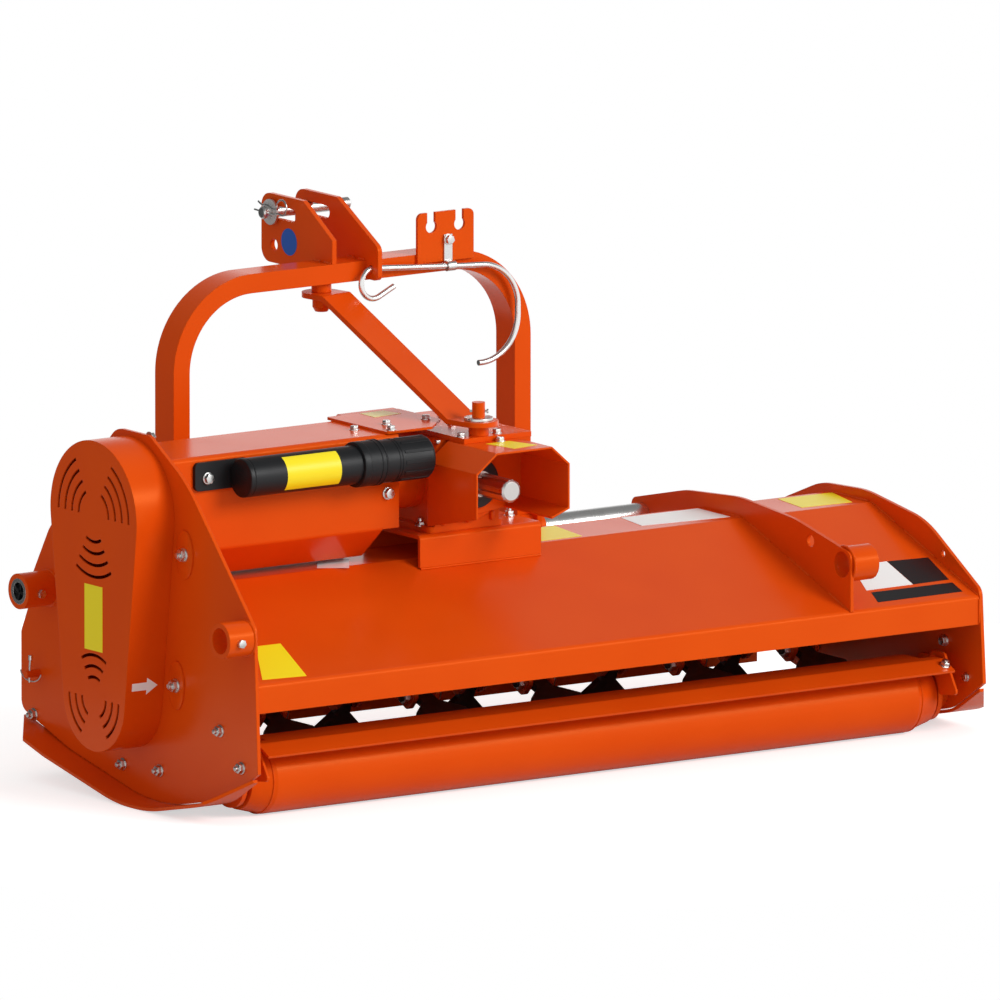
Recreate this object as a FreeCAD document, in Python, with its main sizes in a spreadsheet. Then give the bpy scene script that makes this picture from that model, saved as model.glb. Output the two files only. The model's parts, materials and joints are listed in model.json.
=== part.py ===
"""Flail mulcher for a three-point linkage, 1.25 m wide, with side shift and a rear roller.

Millimetres, +Z up, +X to the right seen from behind the roller, +Y towards the tractor.
The pieces are drawn from the side plates' rear edge and the middle between those plates,
and every finished piece is then moved by the same amount, so that the origin lies on the
ground in the middle of the machine's outline.
"""
import FreeCAD
import Part
import Sketcher

import math
import os
from FreeCAD import Placement, Rotation, Vector

SIZES = {
    # deck: side plates, hood and skids
    "half_width": 680,         # middle to the outer face of a side plate
    "plate": 6,                # side plates and inner plate
    "plate_rear_y": -7,
    "plate_front_y": 629,
    "plate_heel_z": 82,        # where the upright rear edge ends
    "plate_toe_z": 96,
    "left_top_z": 567,
    "crest_near": 48,          # the left plate's level top, either side of the rotor's axis
    "crest_far": 40,
    "crest_knee": 146,
    "crest_far_fall": 182,
    "right_top_z": 344,
    "right_knee": 147,
    "corner": 20,
    "hood_sheet": 5,
    "hood_bend": 8,
    "hood_rear_y": 3,
    "hood_lip_z": 177,
    "hood_edge_z": 221,
    "crown_y": 288,            # where the slope turns into the flat top
    "crown_z": 327,
    "brow_y": 403,             # where the flat top turns down to the front
    "front_edge_y": 575,
    "front_edge_z": 178,
    "skid_width": 50,
    "skid_sheet": 5,
    "skid_flat_rear_y": 215,
    "skid_flat_front_y": 300,
    "skid_nose_y": 500,
    "skid_nose_z": 44.5,
    "skid_heel_y": 70,         # where the rear end turns up
    "skid_heel_z": 30,
    "skid_bend": 340,
    "skid_slant": 71,          # the ends' outer corners, cut away in plan
    # slide bar and its seats
    "bar_radius": 20,
    "bar_wall": 6,
    "bar_y": 556,
    "bar_z": 292,
    "bar_end": 55,             # how far bar and boss stand out of the left plate
    "fit": 0.05,               # radial clearance of shafts in their bores
    "boss_radius": 27.5,
    "seat_y": 26,              # spare seat for the bar at the rear
    "seat_end": 47,
    "inner_in": 249,           # right plate to the inner plate
    "inner_boss": 45,
    "inner_top_z": 358,
    "lift_hole": 9.5,
    "spare_hole": 5.5,
    # rotor
    "rotor_y": 331,
    "rotor_z": 162,
    "rotor_radius": 51,
    "rotor_gap": 9,            # tube's end to bearing
    "rotor_shaft": 25,
    "bearing_depth": 20,
    "bearing_radius": 56,
    "cap_radius": 46,
    "cap_depth": 24,
    "cap_rim": 6,
    "shaft_out": 8,            # the rotor's shaft beyond the left plate
    "shaft_in": 5,             # and short of the right plate's outer face
    "pivot_radius": 72,        # axis of a flail's bolt from the rotor's axis
    "lug_round": 16,
    "lug_sheet": 8,
    "lug_gap": 32,
    "lug_root": 26,            # half of a lug's width on the tube
    "bolt_radius": 7,
    "bolt_over": 12,
    "flail_tip": 70,           # from the bolt's axis
    "flail_neck": 14,          # half widths of a flail at its neck and its edge
    "flail_edge": 46,
    "flail_sheet": 12,
    "flail_eye": 10,
    "flail_lip": 12,
    "flail_shoulder": 28,
    "station_first": 0.6868,   # of the half width, from the middle to the left
    "station_wide": 0.1044,    # the two spacings, in turn four and four, of the half width
    "station_close": 0.0787,
    # roller and scraper
    "roller_y": 112,
    "roller_radius": 57,
    "roller_wall": 6,
    "roller_in": 81,           # side plate to the tube's full width, and to its end
    "roller_cone_in": 40,
    "roller_end_radius": 46,
    "axle_radius": 15,
    "arm_in": 35,              # side plate to an arm's inner face
    "arm_sheet": 8,
    "arm_round": 42,
    "arm_bolt_y": 102,
    "arm_bolt_z": 103,
    "arm_over": 16,
    "spacer_radius": 14,
    "axle_boss": 26,
    "scraper_sheet": 4,
    "scraper_edge_y": 20,
    "scraper_edge_z": 106,
    "scraper_fold_y": 50,
    "scraper_fold_z": 121,
    "scraper_far_y": 112,
    "scraper_short": 31,       # how much earlier its top flange ends
    "scraper_end": 70,
    "scraper_foot_z": 62,
    # belt cover
    "cover_depth": 70,
    "cover_wall": 3,
    "upper_z": 443,            # drive shaft and upper pulley
    "upper_lobe": 116,
    "lower_lobe": 83,
    "vent": 5,
    # drive housing, gearbox and guards
    "housing_right_x": -235,
    "housing_front_y": 257,
    "housing_back_y": 409,
    "housing_top_z": 530,
    "housing_knee_z": 384,
    "housing_wall": 4,
    "housing_bend": 8,
    "shaft_tube": 45,
    "housing_lift": 8,         # gap over the hood's flat top
    "housing_flap_short": 30,  # bare end without the slanting flap
    "lid_left_x": -257,
    "lid_right_x": -124,
    "lid_front_y": 257,
    "lid_back_y": 420,
    "lid_corner": 49,          # cut away under the brace
    "lid_sheet": 4,
    "gear_x": -105,
    "gear_half_width": 60,
    "gear_half_depth": 69,
    "gear_low_z": 375,
    "gear_top_z": 510,
    "gear_round": 22,
    "gear_foot": 8,
    "gear_foot_over": 10,
    "nose_radius": 60,
    "nose_depth": 13,
    "seal_radius": 41,
    "seal_depth": 13,
    "side_boss": 15,
    "pedestal_left_x": -198,
    "pedestal_right_x": 28,
    "pedestal_front_y": 254,
    "pedestal_sheet": 6,
    "pedestal_lift": 2.6,      # weld gap of the front flange on the slope
    "deck_plate_left": -145,
    "deck_plate_right": -20,
    "deck_plate_over": 119,    # half length of the plate on the gearbox
    "deck_plate": 8,
    "shaft_radius": 20,
    "spline_radius": 17.4,
    "spline_root": 14.6,
    "spline_tooth": 8.7,
    "spline_long": 78,
    "shaft_reach": 186,        # gearbox middle to the end of the stub
    "guard_reach": 213,
    "guard_sheet": 3,
    "guard_flange": 4,
    "guard_left_x": -188,
    "guard_right_x": -14,
    "guard_low_z": 411,
    "guard_drop": 29,          # how far the left edge falls towards the gearbox
    "guard_knee_z": 481,
    "guard_chamfer_left": 38,
    "guard_chamfer_right": 33,
    "guard_turn_x": -47,
    "guard_turn_z": 398,
    # headstock
    "head_x": -123,
    "head_half": 333.5,        # middle to the outer face of a leg
    "head_tube": 30,
    "head_tube_deep": 50,
    "head_tube_wall": 4,
    "head_y": 567,
    "head_top_z": 744,
    "head_round": 145,
    "sleeve_radius": 30,
    "sleeve_over": 12,
    "bracket": 8,
    "link_y": 650,
    "link_pin": 11,            # category 1 lower link
    "link_pin_out": 85,
    "link_shank": 9.5,
    "link_nut": 17,
    "bracket_top_z": 420,
    "bracket_nose": 24,
    "ear_left_x": -161,
    "ear_gap": 55,
    "ear": 8,
    "ear_far_y": 733,
    "ear_over": 88,            # heights from the crossbar's top
    "ear_knee_y": 621,
    "ear_fall": 51,
    "ear_under": 19,
    "ear_near_y": 510,
    "ear_near_under": 28,
    "ear_near_high": 52,
    "ear_slot_near_y": 650,
    "ear_slot_far_y": 699,
    "ear_slot_drop": 27,
    "ear_slot": 10,
    "ear_hole_drop": 52,
    "ear_hole": 9.7,           # category 1 top link
    "top_pin": 9.5,
    "top_pin_left": 24,
    "top_pin_right": 70,
    "top_washer": 20,
    "top_washer_sheet": 3.5,
    "top_washer_gap": 5,
    "holder_left_x": -5,
    "holder_right_x": 100,
    "holder_under": 14,        # below and over the crossbar's top
    "holder_over": 64,
    "holder_sheet": 5,
    "key_first_x": 20.5,
    "key_pitch": 53,
    "key_drop": 22,
    "key_radius": 10,
    "key_neck": 7.5,
    "clamp_left_x": 43,
    "clamp_wide": 15,
    "clamp_over": 28,
    "clamp_sheet": 3,
    "rod_radius": 4.5,
    "rod_hole": 5.1,
    "rod_hook_x": -55,
    "rod_hook_turn": 23,
    "rod_under": 9,
    "rod_fall": 20,            # from the hook to the half round end
    "rod_turn_x": 177,
    "rod_bow": 148,            # height of the half round end
    "rod_end_x": 103,
    # brace
    "brace_upper_x": -164,
    "brace_upper_y": 567,
    "brace_lower_y": 231,
    "brace_sheet": 8,
    "brace_wide": 60,
    "brace_under": 53,         # from the crossbar's top down to the upper tab
    "brace_tab": 30,
    "brace_over": 30,
    "brace_pin": 10,
    "brace_nut": 14,           # radius of the nut under the upper eye
    "brace_nut_high": 15,
    "brace_slot": 5.6,         # long lower eye, for the slack of the swinging brace
    "brace_slot_fit": 0.4,
    "post_radius": 15.5,
    "post_high": 15,
    "play": 0.3,               # upright play of the brace
    "post_washer": 22,
    "post_washer_sheet": 3.5,
    "post_tip": 24,
    # front flap
    "flap_y": 583,
    "flap_z": 156,
    "flap_rod": 6,
    "flap_rod_out": 24,
    "flap_barrel": 9,
    "flap_sheet": 4,
    "flap_low_z": 35,
    "flap_side_gap": 8,
    # document canister
    "can_y": 222,
    "can_z": 497,
    "can_radius": 30,
    "can_cap": 35,
    "can_collar": 31,
    "can_cap_long": 122,
    "can_gap": 23,             # to the rear guard
    "can_tab": 63,             # from the left plate to the tab
    "can_tab_wide": 72,
    "can_tab_high": 44,
    "can_tab_lift": 3,
    "can_tab_sheet": 6,
}

doc = FreeCAD.newDocument("flail_mulcher")
sheet = doc.addObject("Spreadsheet::Sheet", "Sizes")
for row, (name, number) in enumerate(SIZES.items(), 1):
    sheet.set(f"A{row}", name)
    sheet.set(f"B{row}", str(number))
    sheet.setAlias(f"B{row}", name)
doc.recompute()


class Size:
    """A length worked out from the sheet: its number, and the formula that keeps it true."""

    def __init__(self, number, formula=None):
        self.number = float(number)
        self.formula = formula or f"({number})"

    def joined(self, other, sign, work, turned=False):
        other = other if isinstance(other, Size) else Size(other)
        left, right = (other, self) if turned else (self, other)
        return Size(work(left.number, right.number), f"({left.formula} {sign} {right.formula})")

    def __add__(self, other):
        return self.joined(other, "+", lambda a, b: a + b)

    def __radd__(self, other):
        return self.joined(other, "+", lambda a, b: a + b, True)

    def __sub__(self, other):
        return self.joined(other, "-", lambda a, b: a - b)

    def __rsub__(self, other):
        return self.joined(other, "-", lambda a, b: a - b, True)

    def __mul__(self, other):
        return self.joined(other, "*", lambda a, b: a * b)

    __rmul__ = __mul__

    def __truediv__(self, other):
        return self.joined(other, "/", lambda a, b: a / b)

    def __neg__(self):
        return Size(-self.number, f"(-1 * {self.formula})")

    def root(self):
        return Size(math.sqrt(self.number), f"sqrt({self.formula})")


class Sheet:
    """The sheet's sizes by name, as s.half_width."""

    def __getattr__(self, name):
        return Size(SIZES[name], f"Sizes.{name}")


s = Sheet()
zero = Size(0)
frame_x = (s.cover_depth - s.skid_width) / 2
frame_y = -(s.plate_rear_y + s.ear_far_y) / 2
nodes = []


def bind(thing, **sizes):
    """Tie properties of an object to the sheet; a double underscore stands for a dot."""
    for name, size in sizes.items():
        thing.setExpression(name.replace("__", "."), size.formula)


def node(thing, label):
    """Name a finished piece and move it into the machine's frame."""
    thing.Label = label
    thing.setExpression("Placement.Base.x", frame_x.formula)
    thing.setExpression("Placement.Base.y", frame_y.formula)
    nodes.append(thing)
    return thing


# ---------------------------------------------------------------- sketches

class Rules:
    """The constraints of a sketch, added together, and the sizes that drive them."""

    def __init__(self, sketch):
        self.sketch = sketch
        self.rules = []
        self.sizes = {}

    def add(self, kind, *where, size=None):
        if size is not None:
            self.sizes[len(self.rules)] = size
            where += (size.number,)
        self.rules.append(Sketcher.Constraint(kind, *where))

    def fix(self, shape, end, point):
        self.add("DistanceX", shape, end, size=point[0])
        self.add("DistanceY", shape, end, size=point[1])

    def apply(self):
        first = self.sketch.ConstraintCount
        self.sketch.addConstraint(self.rules)
        for index, size in self.sizes.items():
            if size.formula.strip("()-.0123456789 "):
                self.sketch.setExpression(f"Constraints[{first + index}]", size.formula)


def draw(sketch, corners, closed=True):
    """Straight runs through corners (across, up) or (across, up, radius)."""
    count = len(corners)
    points = [Vector(corner[0].number, corner[1].number) for corner in corners]
    rules = Rules(sketch)
    bends = []
    for index, corner in enumerate(corners):
        point = points[index]
        if len(corner) == 2:
            bends.append((point, point, None))
            continue
        back = (points[index - 1] - point).normalize()
        ahead = (points[(index + 1) % count] - point).normalize()
        half = back.getAngle(ahead) / 2
        radius = corner[2].number
        start = point + back * (radius / math.tan(half))
        end = point + ahead * (radius / math.tan(half))
        centre = point + (back + ahead).normalize() * (radius / math.sin(half))
        left_turn = back.cross(ahead).z < 0
        first, last = (start, end) if left_turn else (end, start)
        angles = [math.atan2(end_point.y - centre.y, end_point.x - centre.x) for end_point in (first, last)]
        if angles[1] < angles[0]:
            angles[1] += 2 * math.pi
        circle = Part.Circle(centre, Vector(0, 0, 1), radius)
        bends.append((start, end, (Part.ArcOfCircle(circle, *angles), left_turn)))
    runs = []
    for index in range(count if closed else count - 1):
        line = Part.LineSegment(bends[index][1], bends[(index + 1) % count][0])
        runs.append(sketch.addGeometry(line))
    for index, corner in enumerate(corners):
        run_in = runs[index - 1] if closed or index else None
        run_out = runs[index] if index < len(runs) else None
        bend = bends[index][2]
        if bend is None:
            if run_in is not None and run_out is not None:
                rules.add("Coincident", run_in, 2, run_out, 1)
            rules.fix(*((run_out, 1) if run_out is not None else (run_in, 2)), corner)
            continue
        arc = sketch.addGeometry(bend[0])
        first, last = (1, 2) if bend[1] else (2, 1)
        tip = sketch.addGeometry(Part.Point(points[index]), True)
        rules.add("Tangent", run_in, 2, arc, first)
        rules.add("Tangent", run_out, 1, arc, last)
        rules.add("PointOnObject", tip, 1, run_in)
        rules.add("PointOnObject", tip, 1, run_out)
        rules.fix(tip, 1, corner)
        rules.add("Radius", arc, size=corner[2])
    rules.apply()


def ring(sketch, across, up, radius):
    """A circle in a sketch."""
    circle = Part.Circle(Vector(across.number, up.number), Vector(0, 0, 1), radius.number)
    shape = sketch.addGeometry(circle)
    rules = Rules(sketch)
    rules.fix(shape, 3, (across, up))
    rules.add("Radius", shape, size=radius)
    rules.apply()


def long_hole(sketch, first, last, up, radius):
    """A level slot from one round end's centre to the other's."""
    left, right = Vector(first.number, up.number), Vector(last.number, up.number)
    rise = Vector(0, radius.number)
    arcs = [Part.ArcOfCircle(Part.Circle(centre, Vector(0, 0, 1), radius.number), start, start + math.pi)
            for centre, start in ((right, -math.pi / 2), (left, math.pi / 2))]
    shapes = [arcs[0], Part.LineSegment(right + rise, left + rise), arcs[1],
              Part.LineSegment(left - rise, right - rise)]
    near, top, far, low = [sketch.addGeometry(shape) for shape in shapes]
    rules = Rules(sketch)
    for run_in, run_out in ((near, top), (top, far), (far, low), (low, near)):
        rules.add("Tangent", run_in, 2, run_out, 1)
    rules.fix(near, 3, (last, up))
    rules.fix(far, 3, (first, up))
    rules.add("Radius", near, size=radius)
    rules.apply()


PLANES = {"side": "YZ_Plane", "rear": "XZ_Plane", "plan": "XY_Plane"}
# A sketch on the rear plane faces backwards, so its depth counts the other way.
FACING = {"side": 1, "rear": -1, "plan": 1}
TURNED = {"side": Rotation(Vector(0, 1, 0), Vector(0, 0, 1), Vector(1, 0, 0)),
          "rear": Rotation(Vector(1, 0, 0), Vector(0, 0, 1), Vector(0, -1, 0)),
          "plan": Rotation()}
AXES = {"side": Vector(1, 0, 0), "rear": Vector(0, 1, 0), "plan": Vector(0, 0, 1)}


def sketch_in(body, plane, depth, across=zero, up=zero):
    """A sketch of a body, on one of its own planes, moved to a depth and a new origin."""
    sketch = body.newObject("Sketcher::SketchObject", "profile")
    support = [each for each in body.Origin.OriginFeatures if each.Role == PLANES[plane]]
    sketch.AttachmentSupport = [(support[0], "")]
    sketch.MapMode = "FlatFace"
    bind(sketch, AttachmentOffset__Base__x=across, AttachmentOffset__Base__y=up,
         AttachmentOffset__Base__z=depth * FACING[plane])
    return sketch


def slab(plane, low, deep, corners=None, rings=(), slots=(), body=None):
    """A body padded from `low`, `deep` towards the plane's positive side."""
    body = body or doc.addObject("PartDesign::Body", "body")
    sketch = sketch_in(body, plane, low)
    if corners:
        draw(sketch, corners)
    for each in rings:
        ring(sketch, *each)
    for each in slots:
        long_hole(sketch, *each)
    pad = body.newObject("PartDesign::Pad", "pad")
    pad.Profile = sketch
    pad.Reversed = plane == "rear"
    bind(pad, Length=deep)
    return body


def pocket(body, plane, low, deep, corners=None, rings=()):
    """Cut a body from `low`, `deep` towards the plane's positive side."""
    sketch = sketch_in(body, plane, low)
    if corners:
        draw(sketch, corners)
    for each in rings:
        ring(sketch, *each)
    cut = body.newObject("PartDesign::Pocket", "pocket")
    cut.Profile = sketch
    cut.Reversed = plane != "rear"
    bind(cut, Length=deep)
    return body


def turned(plane, centre, corners):
    """A body of revolution. Corners are (along, radius); `centre` is its axis, and `plane`
    is rear for an axis along X, side for one along Y."""
    body = doc.addObject("PartDesign::Body", "body")
    sketch = sketch_in(body, plane, centre[0], up=centre[1])
    draw(sketch, corners)
    revolution = body.newObject("PartDesign::Revolution", "revolution")
    revolution.Profile = sketch
    revolution.ReferenceAxis = (sketch, ["H_Axis"])
    revolution.Angle = 360
    return body


def upright(across, along, corners):
    """A body of revolution about an upright axis. Corners are (radius, height)."""
    body = doc.addObject("PartDesign::Body", "body")
    sketch = sketch_in(body, "rear", along, across=across)
    draw(sketch, corners)
    revolution = body.newObject("PartDesign::Revolution", "revolution")
    revolution.Profile = sketch
    revolution.ReferenceAxis = (sketch, ["V_Axis"])
    revolution.Angle = 360
    return body


def folded(plane, low, deep, thick, path):
    """A sheet bent along a path, extruded from `low`. Its thickness lies on the path's right."""
    sketch = doc.addObject("Sketcher::SketchObject", "fold")
    sketch.Placement = Placement(Vector(), TURNED[plane])
    bind(sketch, **{"Placement__Base__" + {"side": "x", "rear": "y", "plan": "z"}[plane]: low})
    draw(sketch, path, closed=False)
    section = doc.addObject("Part::Offset2D", "section")
    section.Source = sketch
    section.Mode = "Skin"
    section.Join = "Arc"
    section.Fill = True
    section.Value = thick.number * FACING[plane]
    bind(section, Value=thick * FACING[plane])
    return extruded(section, plane, deep)


def extruded(section, plane, deep):
    body = doc.addObject("Part::Extrusion", "sheet")
    body.Base = section
    body.DirMode = "Custom"
    body.Dir = AXES[plane]
    body.Solid = True
    bind(body, LengthFwd=deep)
    return body


def tube(plane, low, deep, centre, outer, inner=None):
    """A round bar or ring along the plane's normal."""
    rings = [(*centre, outer)] + ([(*centre, inner)] if inner else [])
    return slab(plane, low, deep, rings=rings)


def fuse(*pieces):
    union = doc.addObject("Part::MultiFuse", "union")
    union.Shapes = list(pieces)
    return union


def cut(base, tool):
    result = doc.addObject("Part::Cut", "cut")
    result.Base = base
    result.Tool = tool
    return result


def common(base, tool):
    result = doc.addObject("Part::Common", "common")
    result.Base = base
    result.Tool = tool
    return result


def group(*pieces):
    """Like pieces that share a node without touching."""
    compound = doc.addObject("Part::Compound", "group")
    compound.Links = list(pieces)
    return compound


# ---------------------------------------------------------------- deck

inside = s.half_width - s.plate
inner_x = s.half_width - s.inner_in
roller_half = s.half_width - s.roller_in
roller_cone = s.half_width - s.roller_cone_in
arm_x = s.half_width - s.arm_in
bar = (s.bar_y, s.bar_z)
seat = (s.seat_y, s.bar_z)
rotor_axis = (s.rotor_y, s.rotor_z)
flap_axis = (s.flap_y, s.flap_z)
head_face = s.head_y - s.head_tube_deep / 2
rod_y = head_face - s.holder_sheet - s.clamp_sheet - s.rod_hole
rod_high_z = s.head_top_z - s.rod_under
rod_left = s.rod_hook_x - 61
SIDES = (("left", -1), ("right", 1))


def rod_height(across):
    """Height of the hose rod's long run."""
    return rod_high_z - (across - rod_left) * s.rod_fall / (s.rod_turn_x - rod_left)



def from_side(sign, outer, thick):
    """Lowest X of a layer whose outer face lies `outer` from the middle, on the given side."""
    return -outer if sign < 0 else outer - thick


def foot_line():
    """The lower edge of a side plate, from the toe back to the heel."""
    return [(s.skid_nose_y, s.skid_nose_z + s.skid_sheet * 1.3, s.skid_bend * 0.8),
            (s.skid_flat_front_y, s.skid_sheet * 1.1, s.skid_bend),
            (s.skid_flat_rear_y, s.skid_sheet * 1.1, s.skid_bend),
            (s.skid_heel_y, s.skid_heel_z + s.skid_sheet * 1.4, s.skid_bend * 0.4),
            (s.plate_rear_y, s.plate_heel_z + 4)]


def side_plates():
    toe = [(s.plate_front_y, s.front_edge_z + 37, s.corner / 2), (s.plate_front_y, s.plate_toe_z, s.corner)]
    crest = s.left_top_z
    far_fall = s.crest_far_fall
    left_edge = [(s.hood_rear_y, s.bar_z + 17, s.corner), (s.rotor_y - s.crest_knee, crest - 59, s.corner * 12.5),
                 (s.rotor_y - s.crest_near, crest, s.corner * 1.2), (s.rotor_y + s.crest_far, crest, s.corner * 2),
                 (s.rotor_y + s.crest_far + far_fall, crest - far_fall, s.corner * 3),
                 (s.plate_front_y - 29, s.bar_z + 13, s.corner), (s.plate_front_y - 23, s.bar_z - 30, s.corner)]
    right_edge = [(s.hood_rear_y, s.hood_edge_z + 10, s.corner),
                  (s.hood_rear_y + s.right_knee, s.crown_z - 7, s.corner * 9),
                  (s.crown_y + 20, s.right_top_z, s.corner * 12), (s.brow_y + 20, s.right_top_z - 5, s.corner * 7),
                  (s.plate_front_y - 108, s.crown_z - 26, s.corner * 3)]
    hole = s.bar_radius + s.fit
    shaft_hole = (*rotor_axis, s.rotor_shaft + 5)
    rod_hole = (*flap_axis, s.flap_rod + s.fit)
    node(slab("side", -s.half_width, s.plate, left_edge + toe + foot_line(),
              rings=[shaft_hole, rod_hole, (*bar, hole), (*seat, hole)]), "side_plate_left")
    spare = (s.plate_rear_y + 106.5, s.bar_z - 18.5, s.spare_hole)
    node(slab("side", inside, s.plate, right_edge + toe + foot_line(),
              rings=[shaft_hole, rod_hole, spare]), "side_plate_right")


def hood():
    path = [(s.hood_rear_y, s.hood_lip_z), (s.hood_rear_y, s.hood_edge_z, s.hood_bend),
            (s.crown_y, s.crown_z, s.hood_bend), (s.brow_y, s.crown_z, s.hood_bend),
            (s.front_edge_y, s.front_edge_z)]
    node(folded("side", -inside, inside * 2, s.hood_sheet, path), "hood")


def inner_plate():
    fall = (s.crown_z - s.front_edge_z) / (s.front_edge_y - s.brow_y)
    foot_y = s.bar_y - 11
    outline = [(s.hood_rear_y, s.bar_z + s.corner, s.corner * 0.7),
               (s.hood_rear_y + 150, s.inner_top_z - 13, s.corner * 12),
               (s.crown_y + 12, s.inner_top_z, s.corner * 14),
               (s.brow_y + 40, s.inner_top_z - 10, s.corner * 9),
               (s.bar_y + 30, s.inner_top_z - 42, s.corner * 0.7),
               (s.bar_y + 30, s.bar_z - 30, s.corner * 0.5),
               (foot_y, s.crown_z - (foot_y - s.brow_y) * fall),
               (s.brow_y, s.crown_z), (s.crown_y, s.crown_z), (s.hood_rear_y, s.hood_edge_z)]
    hole = s.bar_radius + s.fit
    rings = [(*bar, hole), (*seat, hole), (s.seat_y + 83, s.bar_z + 25, s.lift_hole)]
    node(slab("side", inner_x, s.plate, outline, rings=rings), "inner_plate")


def skids():
    for name, sign in SIDES:
        wide = s.skid_width + s.plate
        path = [(s.plate_front_y - 7, s.plate_toe_z - 15), (s.skid_nose_y, s.skid_nose_z, s.skid_bend * 0.8),
                (s.skid_flat_front_y, zero, s.skid_bend), (s.skid_flat_rear_y, zero, s.skid_bend),
                (s.skid_heel_y, s.skid_heel_z, s.skid_bend * 0.4), (s.plate_rear_y + 8, s.plate_heel_z - 10)]
        strip = folded("side", from_side(sign, s.half_width + s.skid_width, wide), wide, s.skid_sheet, path)
        root, edge = s.half_width * sign, (s.half_width + s.skid_width + 1) * sign
        toe_y, heel_y = s.plate_front_y - 7, s.plate_rear_y + 6
        corners = [slab("plan", Size(-1), s.plate_toe_z, [
            (root, tip), (edge, back), (edge, tip + (tip - back) * 0.2), (root, tip + (tip - back) * 0.2)])
            for tip, back in ((toe_y, toe_y - s.skid_slant), (heel_y, heel_y + s.skid_slant))]
        node(cut(strip, group(*corners)), f"skid_{name}")


def slide_bar():
    start = -(s.half_width + s.bar_end)
    long = inner_x + s.plate - start
    node(tube("side", start, long, bar, s.bar_radius, s.bar_radius - s.bar_wall), "slide_bar")
    bore = s.bar_radius + s.fit
    node(group(tube("side", start, s.bar_end, bar, s.boss_radius, bore),
               tube("side", -(s.half_width + s.seat_end), s.seat_end, seat, s.boss_radius, bore),
               tube("side", inner_x + s.plate, s.inner_boss, seat, s.boss_radius, bore)), "bar_bosses")


def roller_arms():
    axle = (s.roller_y, s.roller_radius)
    bolt = (s.arm_bolt_y, s.arm_bolt_z)
    low = s.roller_radius - s.arm_round
    waist = s.roller_radius + s.corner / 2
    top = s.arm_bolt_z + s.arm_over
    outline = [(s.roller_y - s.arm_round, low, s.arm_round * 0.95), (s.roller_y + s.arm_round, low, s.arm_round * 0.95),
               (s.roller_y + s.arm_round, waist), (s.arm_bolt_y + s.corner, top, s.arm_over * 0.8),
               (s.arm_bolt_y - s.corner, top, s.arm_over * 0.8), (s.roller_y - s.arm_round, waist)]
    for name, sign in SIDES:
        arm = slab("side", from_side(sign, arm_x + s.arm_sheet, s.arm_sheet), s.arm_sheet, outline,
                   rings=[(*axle, s.axle_radius + s.fit)])
        gap = inside - arm_x - s.arm_sheet
        low_x = from_side(sign, inside, gap)
        node(fuse(arm, tube("side", low_x, gap, axle, s.axle_boss, s.axle_radius + s.fit),
                  tube("side", low_x, gap, bolt, s.spacer_radius)), f"roller_arm_{name}")


def scraper():
    edge, fold = (s.scraper_edge_y, s.scraper_edge_z), (s.scraper_fold_y, s.scraper_fold_z, s.corner / 2)
    end = arm_x - s.scraper_sheet
    short = end - s.scraper_short
    blade = folded("side", -end, end * 2, s.scraper_sheet, [edge, fold, (s.scraper_fold_y + s.corner, fold[1])])
    rest = folded("side", -short, short * 2, s.scraper_sheet, [edge, fold, (s.scraper_far_y, fold[1])])
    # The end plates carry the blade on the arms, and hang down over the roller's ends.
    top, foot = fold[1] + s.corner * 0.4, s.scraper_foot_z
    near, far = s.scraper_edge_y - 5, s.scraper_edge_y + s.scraper_end
    outline = [(far, top, s.corner * 0.4), (s.scraper_fold_y, top, s.corner * 0.4), (s.scraper_edge_y + 18, edge[1]),
               (near, foot + 6, s.corner * 0.3), (near + 47, foot, s.corner * 0.3), (near + 58, foot + 28)]
    ends = [slab("side", from_side(sign, arm_x, s.scraper_sheet), s.scraper_sheet, outline) for _, sign in SIDES]
    node(fuse(blade, rest, *ends), "scraper")


def bearings():
    for name, sign in SIDES:
        low = from_side(sign, inside, s.bearing_depth)
        node(tube("side", low, s.bearing_depth, rotor_axis, s.bearing_radius, s.rotor_shaft + s.fit),
             f"rotor_bearing_{name}")
    along = s.half_width
    node(turned("rear", rotor_axis, [
        (along, zero), (along, s.bearing_radius), (along + s.cap_rim, s.bearing_radius),
        (along + s.cap_rim, s.cap_radius),
        (along + s.cap_depth, s.cap_radius, s.corner / 2), (along + s.cap_depth, zero)]), "bearing_cap")


# ---------------------------------------------------------------- belt cover

def lobes(sketch, upper, lower):
    """Two arcs and the two lines that touch both."""
    apart = s.upper_z.number - s.rotor_z.number
    lean = math.asin((upper.number - lower.number) / apart)
    normal = Vector(math.cos(lean), -math.sin(lean))
    high = Vector(s.rotor_y.number, s.upper_z.number)
    low = Vector(s.rotor_y.number, s.rotor_z.number)
    mirrored = Vector(-normal.x, normal.y)
    up = Vector(0, 0, 1)
    rules = Rules(sketch)
    head = sketch.addGeometry(Part.ArcOfCircle(Part.Circle(high, up, upper.number), -lean, math.pi + lean))
    left = sketch.addGeometry(Part.LineSegment(high + mirrored * upper.number, low + mirrored * lower.number))
    toe = sketch.addGeometry(Part.ArcOfCircle(Part.Circle(low, up, lower.number), math.pi + lean, 2 * math.pi - lean))
    right = sketch.addGeometry(Part.LineSegment(low + normal * lower.number, high + normal * upper.number))
    for first, second in ((head, left), (left, toe), (toe, right), (right, head)):
        rules.add("Tangent", first, 2, second, 1)
    rules.fix(head, 3, (s.rotor_y, s.upper_z))
    rules.fix(toe, 3, (s.rotor_y, s.rotor_z))
    rules.add("Radius", head, size=upper)
    rules.add("Radius", toe, size=lower)
    rules.apply()


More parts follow.
